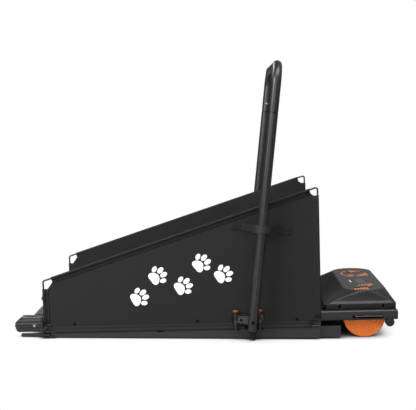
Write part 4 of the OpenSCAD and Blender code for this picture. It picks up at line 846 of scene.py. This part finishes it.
def makeStrapSeams(name, side):
    verts, faces = [], []
    top = strap["restY"] + strap["thick"]
    for a in tack["rows"]:
        for k in range(tack["count"]):
            b = strap["at"] + tack["start"] + k * tack["step"]
            base = len(verts)
            for t, rise in tack["profile"]:
                for e in (-1, 1):
                    for y in (top + rise, top - tack["sunk"]):
                        verts.append(onHandle(a + e * tack["half"], side * y,
                                              b + tack["length"] * t))
            for m in range(3):
                o = base + 4 * m
                faces += [(o, o + 2, o + 6, o + 4), (o + 1, o + 5, o + 7, o + 3),
                          (o, o + 4, o + 5, o + 1), (o + 2, o + 3, o + 7, o + 6)]
            faces += [(base, base + 1, base + 3, base + 2),
                      (base + 12, base + 14, base + 15, base + 13)]
    meshPiece(name, verts, faces, seamThread, smooth=False)


for label, side in bothSides:
    makeStrap("post_strap_" + label, side)
    makeStrapSeams("strap_seams_" + label, side)
print("straps made")

# console printing: thin raised ink on the plate
console = {
    "faceHeight": 0.1065, "ink": 0.00025, "sunk": 0.0001, "steps": 24,
    # arcs: middle, half sizes, width, degrees from and to
    "arcs": [((0.530, 0.092), (0.044, 0.054), 0.005, 118, 242),
             ((0.530, 0.092), (0.044, 0.054), 0.006, 44, 104)],
    # oval pads: middle, half sizes, tilt in degrees
    "pads": [((0.519, 0.046), (0.014, 0.006), 0), ((0.519, 0.066), (0.014, 0.006), 0)],
    "whitePads": [((0.5015, -0.045), (0.0024, 0.019), 4)],
    # rows of rising bars: first u, step, foot, half width, first half height, growth, count
    "bars": [(0.543, 0.0105, 0.040, 0.0044, 0.012, 0.006, 4),
             (0.523, 0.010, -0.126, 0.0042, 0.010, 0.0022, 5),
             (0.501, 0.010, -0.187, 0.0042, 0.010, 0.0015, 5)],
}


def makeInk(name, arcs, pads, finish):
    verts, faces = [], []
    low, high = console["faceHeight"] - console["sunk"], console["faceHeight"] + console["ink"]
    steps = console["steps"]
    for (u, y), (halfU, halfY), wide, start, stop in arcs:
        base = len(verts)
        for k in range(steps + 1):
            a = math.radians(start + (stop - start) * k / steps)
            for inset, h in ((wide, low), (wide, high), (0, high), (0, low)):
                verts.append(onDeck(u + (halfU - inset) * math.cos(a),
                                    y + (halfY - inset) * math.sin(a), h))
        for k in range(steps):
            o = base + 4 * k
            for m in range(4):
                n = (m + 1) % 4
                faces.append((o + m, o + n, o + 4 + n, o + 4 + m))
        for k in (0, steps):
            faces.append(tuple(base + 4 * k + m for m in range(4)))
    for (u, y), (halfU, halfY), tilt in pads:
        base = len(verts)
        for h in (low, high):
            for k in range(steps):
                a = 2 * math.pi * k / steps
                du, dy = turned(halfU * math.cos(a), halfY * math.sin(a), math.radians(tilt))
                verts.append(onDeck(u + du, y + dy, h))
        faces += [tuple(o + k for k in range(steps)) for o in (base, base + steps)]
        for k in range(steps):
            n = (k + 1) % steps
            faces.append((base + k, base + n, base + steps + n, base + steps + k))
    meshPiece(name, verts, faces, finish, smooth=False)


bars = [((u + step * k, foot + tall + grow * k), (half, tall + grow * k), 0)
        for u, step, foot, half, tall, grow, count in console["bars"] for k in range(count)]
makeInk("console_orange_print", console["arcs"], console["pads"] + bars, orangeInk)
makeInk("console_white_print", [], console["whitePads"], whiteInk)
print("console printed")

# pale floor: white to the camera; close under the object its colour turns dark as a painted shadow
# from ambient occlusion
stage = {
    "size": 30, "drop": 0.0005, "white": "#ffffff", "pale": "#b0b0b0", "shadow": "#303030",
    "shadowReach": 0.3, "shadowFade": (0.1, 0.62),  # metres, and openness from dark to pale
    "glowAlong": (-0.1, 0.25), "glow": (0.04, 0.44),  # the soft light grows towards +X
}
floorPaint = newFinish("pale studio floor", {"Roughness": 0.9, "IOR": 1.4})
tree = floorPaint.tree
# painted shadow: ambient occlusion darkens the floor's own colour close under the object
clear = addNode(tree, "ShaderNodeAmbientOcclusion", {"Distance": stage["shadowReach"]}, samples=16)
fade = addNode(tree, "ShaderNodeMapRange",
               {"Value": clear.outputs["AO"], "From Min": stage["shadowFade"][0],
                "From Max": stage["shadowFade"][1]}, interpolation_type="SMOOTHSTEP")
twoTone(floorPaint, fade.outputs["Result"], stage["shadow"], stage["pale"])
cameraRay = addNode(tree, "ShaderNodeLightPath").outputs["Is Camera Ray"]
share = addNode(tree, "ShaderNodeMath", {0: fade.outputs["Result"], 1: cameraRay},
                operation="MULTIPLY")
blank = addNode(tree, "ShaderNodeEmission", {"Color": linear(stage["white"]), "Strength": 1.0})
blended = addNode(tree, "ShaderNodeMixShader",
                  {"Fac": share.outputs[0], 1: floorPaint.shader.outputs[0], 2: blank.outputs[0]})
tree.links.new(blended.outputs[0], tree.nodes["Material Output"].inputs["Surface"])
mesh = bpy.data.meshes.new("studio_floor")
half = stage["size"] / 2
mesh.from_pydata([(-half, -half, 0), (half, -half, 0), (half, half, 0), (-half, half, 0)], [],
                 [(0, 1, 2, 3)])
mesh.materials.append(floorPaint.material)
floor = bpy.data.objects.new("studio_floor", mesh)
floor.location.z = -stage["drop"]
scene.collection.objects.link(floor)

world = bpy.data.worlds.new("studio")
scene.world = world
world.use_nodes = True
tree = world.node_tree
tree.nodes.clear()
rays = addNode(tree, "ShaderNodeLightPath").outputs
seen = addNode(tree, "ShaderNodeMath", {0: rays["Is Camera Ray"], 1: rays["Is Transmission Ray"]},
               operation="MAXIMUM")
toward = addNode(tree, "ShaderNodeTexCoord").outputs["Generated"]
aim = addNode(tree, "ShaderNodeSeparateXYZ", {"Vector": toward})
glow = addNode(tree, "ShaderNodeMapRange",
               {"Value": aim.outputs["X"], "From Min": stage["glowAlong"][0],
                "From Max": stage["glowAlong"][1], "To Min": stage["glow"][0],
                "To Max": stage["glow"][1]})
soft = addNode(tree, "ShaderNodeBackground",
               {"Color": linear(stage["white"]), "Strength": glow.outputs["Result"]})
white = addNode(tree, "ShaderNodeBackground", {"Color": linear(stage["white"]), "Strength": 1.0})
mixed = addNode(tree, "ShaderNodeMixShader",
                {"Fac": seen.outputs[0], 1: soft.outputs[0], 2: white.outputs[0]})
addNode(tree, "ShaderNodeOutputWorld", {"Surface": mixed.outputs[0]})

lamps = {  # place, aim, watts, width, height
    "keyLamp": ((-2.4, -1.75, 1.7), (0, 0, 0.3), 108, 1.5, 1.0),
    "frontStrip": ((-0.5, -3.4, 1.02), (0.1, 0, 0.5), 26, 0.32, 2.0),
    "topLamp": ((0.5, -1.05, 2.4), (0.2, -0.1, 0.1), 50, 2.2, 1.0),
    "backLamp": ((-1.9, 2.4, 2.4), (0, 0, 0.3), 60, 1.6, 1.2),
}
for name, (spot, target, power, wide, tall) in lamps.items():
    lampData = bpy.data.lights.new(name, "AREA")
    lampData.shape = "RECTANGLE"
    lampData.energy = power
    lampData.size = wide
    lampData.size_y = tall
    lamp = bpy.data.objects.new(name, lampData)
    lamp.location = spot
    lamp.rotation_euler = (Vector(target) - Vector(spot)).to_track_quat("-Z", "Y").to_euler()
    scene.collection.objects.link(lamp)
print("stage ready")
